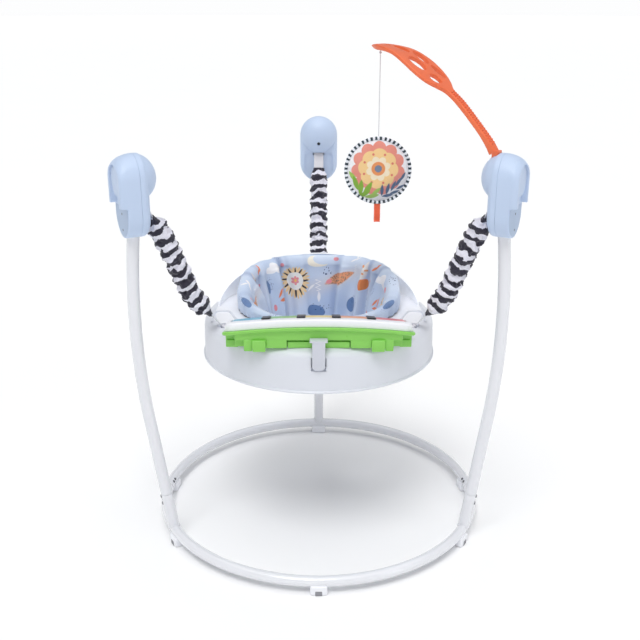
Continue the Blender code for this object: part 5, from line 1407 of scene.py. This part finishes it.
finishPiece("toy_bar_arm", merged(carved(barBody, windows, [plug], 0.0009, 50), *bumps),
            orangePlastic, "toy_bar", "toy_bar", sharp=40)
print("toy bar ready")


# hanging disc with its edging and ribbon
toyMiddle = Vector((toy["x"], toy["y"], toy["z"]))


def discFinish():
    finish = Finish("toy_cloth", Roughness=0.82, Sheen_Weight=0.2)
    uv = finish.where("UV")
    spot, leaf, petals = brushes(finish, uv)
    colour = finish.mix(finish.cloud(uv, 30, 2), rgb(246, 246, 250), rgb(252, 252, 255))
    coral = finish.mix(finish.cloud(uv, 22, 2), rgb(226, 130, 112), rgb(244, 166, 152))
    middle = (0.000, 0.006)
    marks = [(petals(*middle, 0.0480, 0.0570, 11, 0.10, 0.7), coral),
             (petals(*middle, 0.0375, 0.0425, 8, 0.30, 0.8), rgb(250, 212, 150)),
             (petals(*middle, 0.0200, 0.0262, 8, 0.70, 0.8), rgb(252, 236, 206)),
             (spot(*middle, 0.0145, 0.0145, 0, 0.04), rgb(236, 152, 96)),
             (spot(*middle, 0.0076, 0.0076, 0, 0.05), rgb(120, 136, 160))]
    for k in range(8):
        angle = 2 * pi * k / 8 + 0.35
        marks.append((spot(0.0318 * cos(angle), 0.006 + 0.0318 * sin(angle),
                           0.0026, 0.0026, 0, 0.1), rgb(226, 130, 112)))
    lime, moss, slate = rgb(166, 204, 96), rgb(136, 182, 66), rgb(86, 108, 138)
    for width, paint, leaves in (
            (0.56, lime, ((-0.053, -0.012, 2.2, 0.030),)),
            (0.56, moss, ((-0.047, -0.025, 1.9, 0.034), (-0.036, -0.035, 1.5, 0.036),
                          (-0.022, -0.038, 1.05, 0.038), (-0.030, -0.050, 0.55, 0.034))),
            (0.56, lime, ((-0.012, -0.053, 0.2, 0.032), (-0.004, -0.044, 0.75, 0.028))),
            (0.52, slate, ((0.009, -0.040, 1.55, 0.026), (0.021, -0.037, 1.35, 0.026),
                           (0.033, -0.031, 1.15, 0.025), (0.044, -0.022, 0.95, 0.024),
                           (0.053, -0.011, 1.05, 0.021), (0.021, -0.052, 0.15, 0.025),
                           (0.036, -0.045, 0.30, 0.023), (0.048, -0.034, 0.45, 0.021)))):
        marks += [(leaf(x, y, size, size * width, turn), paint) for x, y, turn, size in leaves]
    marks.append((leaf(0.028, -0.042, 0.074, 0.0026, 0.62), rgb(70, 90, 122)))
    colour = finish.layered(colour, marks)
    return printed(finish, colour, uv, 0.0006, (0.90, 0.90, 0.91, 1), 0.00008)


def discPlace(u, v):
    # a stuffed disc, puckered where the edging gathers it
    angle, level = 2 * pi * u, sin(pi * v)
    r = toy["pad"] * level
    crown = toy["depth"] / 2 * (1 - abs(level) ** 3.2) ** 0.62
    pucker = 0.0011 * abs(level) ** 6 * sin(toy["checks"] * angle + 1.3 * sin(7 * angle))
    crown += 0.0006 * noiseAt(r * cos(angle) * 60, r * sin(angle) * 60, 2 * v - 1)
    return toyMiddle + Vector((r * cos(angle), (crown + pucker) * (-1 if v < 0.5 else 1),
                               r * sin(angle)))


disc = remapped(formed(132, 80, discPlace),
                lambda spot, uv: (spot.x - toy["x"], spot.z - toy["z"]))
finishPiece("disc_pad", disc, discFinish(), "hanging_toy", "toy_disc", asIs, None)

border = Finish("border_cloth", Roughness=0.84)
borderUv = border.where("UV")
unused, borderAlong, unused = border.parts(borderUv)
borderLength = 2 * pi * 0.0685
checks = (borderAlong * (toy["checks"] / borderLength)
          + (border.cloud(borderUv, 60, 1) - 0.5) * 0.3).sum("FRACT")
borderInk = border.ease(abs(checks - 0.5), 0.27, 0.22)
borderInk = borderInk * border.ease(border.cloud(borderUv, 240, 1), 0.30, 0.36)
borderWeave = threads(border, borderUv, 0.0006)
borderCloth = border.done(border.mix(
    borderInk, border.mix(borderWeave, rgb(222, 232, 244), rgb(248, 251, 255)),
    border.mix(borderWeave, rgb(22, 34, 46), rgb(50, 68, 80))), borderWeave, 0.0001)


def borderPlace(u, v):
    angle, turn = 2 * pi * u, 2 * pi * v
    reach = toy["borderReach"] + 0.0036 * cos(angle)
    depth = 0.0040 * sin(angle) * (1 + 0.08 * sin(toy["checks"] * turn))
    return toyMiddle + Vector((reach * cos(turn), depth, reach * sin(turn)))


finishPiece("disc_border", formed(20, 264, borderPlace, 0.022, borderLength), borderCloth,
            "hanging_toy", "toy_border", asIs, None)

ribbon = Finish("ribbon_cloth", Roughness=0.6)
ribbonAcross, ribbonAlong, unused = ribbon.parts(ribbon.where("UV"))
ribbonRib = abs((ribbonAlong * (pi / 0.0008)).sine())
ribbonEdge = ribbon.ease(abs(ribbonAcross - 0.007), 0.0056, 0.0062)
ribbonCloth = ribbon.done(ribbon.mix(
    ribbonEdge, ribbon.mix(ribbonRib, rgb(226, 76, 44), rgb(250, 112, 76)),
    rgb(255, 158, 130)), ribbonRib, 0.0001)


def ribbonSide(layer, twistBy):
    def place(u, v):
        x = (u - 0.5) * toy["ribbon"]
        depth = layer * (0.0005 + 0.0010 * sin(pi * min(v * 1.2, 1))) + x * twistBy * v
        return toyMiddle + Vector((x, depth + 0.0006 * sin(9 * v + layer),
                                   -toy["edge"] - toy["fall"] * v))
    return formed(10, 40, place, 0.014, 0.040)


loops = [ribbonSide(-1, -0.10), ribbonSide(1, 0.16)]
ribbonArea = areaOf(*loops)
ribbonPiece = finishPiece("ribbon_tail", merged(*loops), ribbonCloth, "hanging_toy",
                          "ribbon_tab", asIs, None)
addModifier(ribbonPiece, "SOLIDIFY", thickness=0.0005, offset=0.0)

knot = Vector((toy["x"], toy["y"], toy["knot"]))
knotLine = []
for s in range(41):
    a = 2 * pi * s / 41
    knotLine.append(knot + 0.0011 * Vector((
        sin(a) + 2 * sin(2 * a), -sin(3 * a), cos(a) - 2 * cos(2 * a))) * 0.62)
finishPiece("bar_knot", merged(tube(knotLine, 0.0009, 10, closed=True),
                               tube([knot, knot + Vector((0, 0, 0.005))], 0.0009, 12,
                                    (0, 1, 0))),
            stringFibre, "string_knot", "string_knot", asIs, None)
print("hanging toy ready")
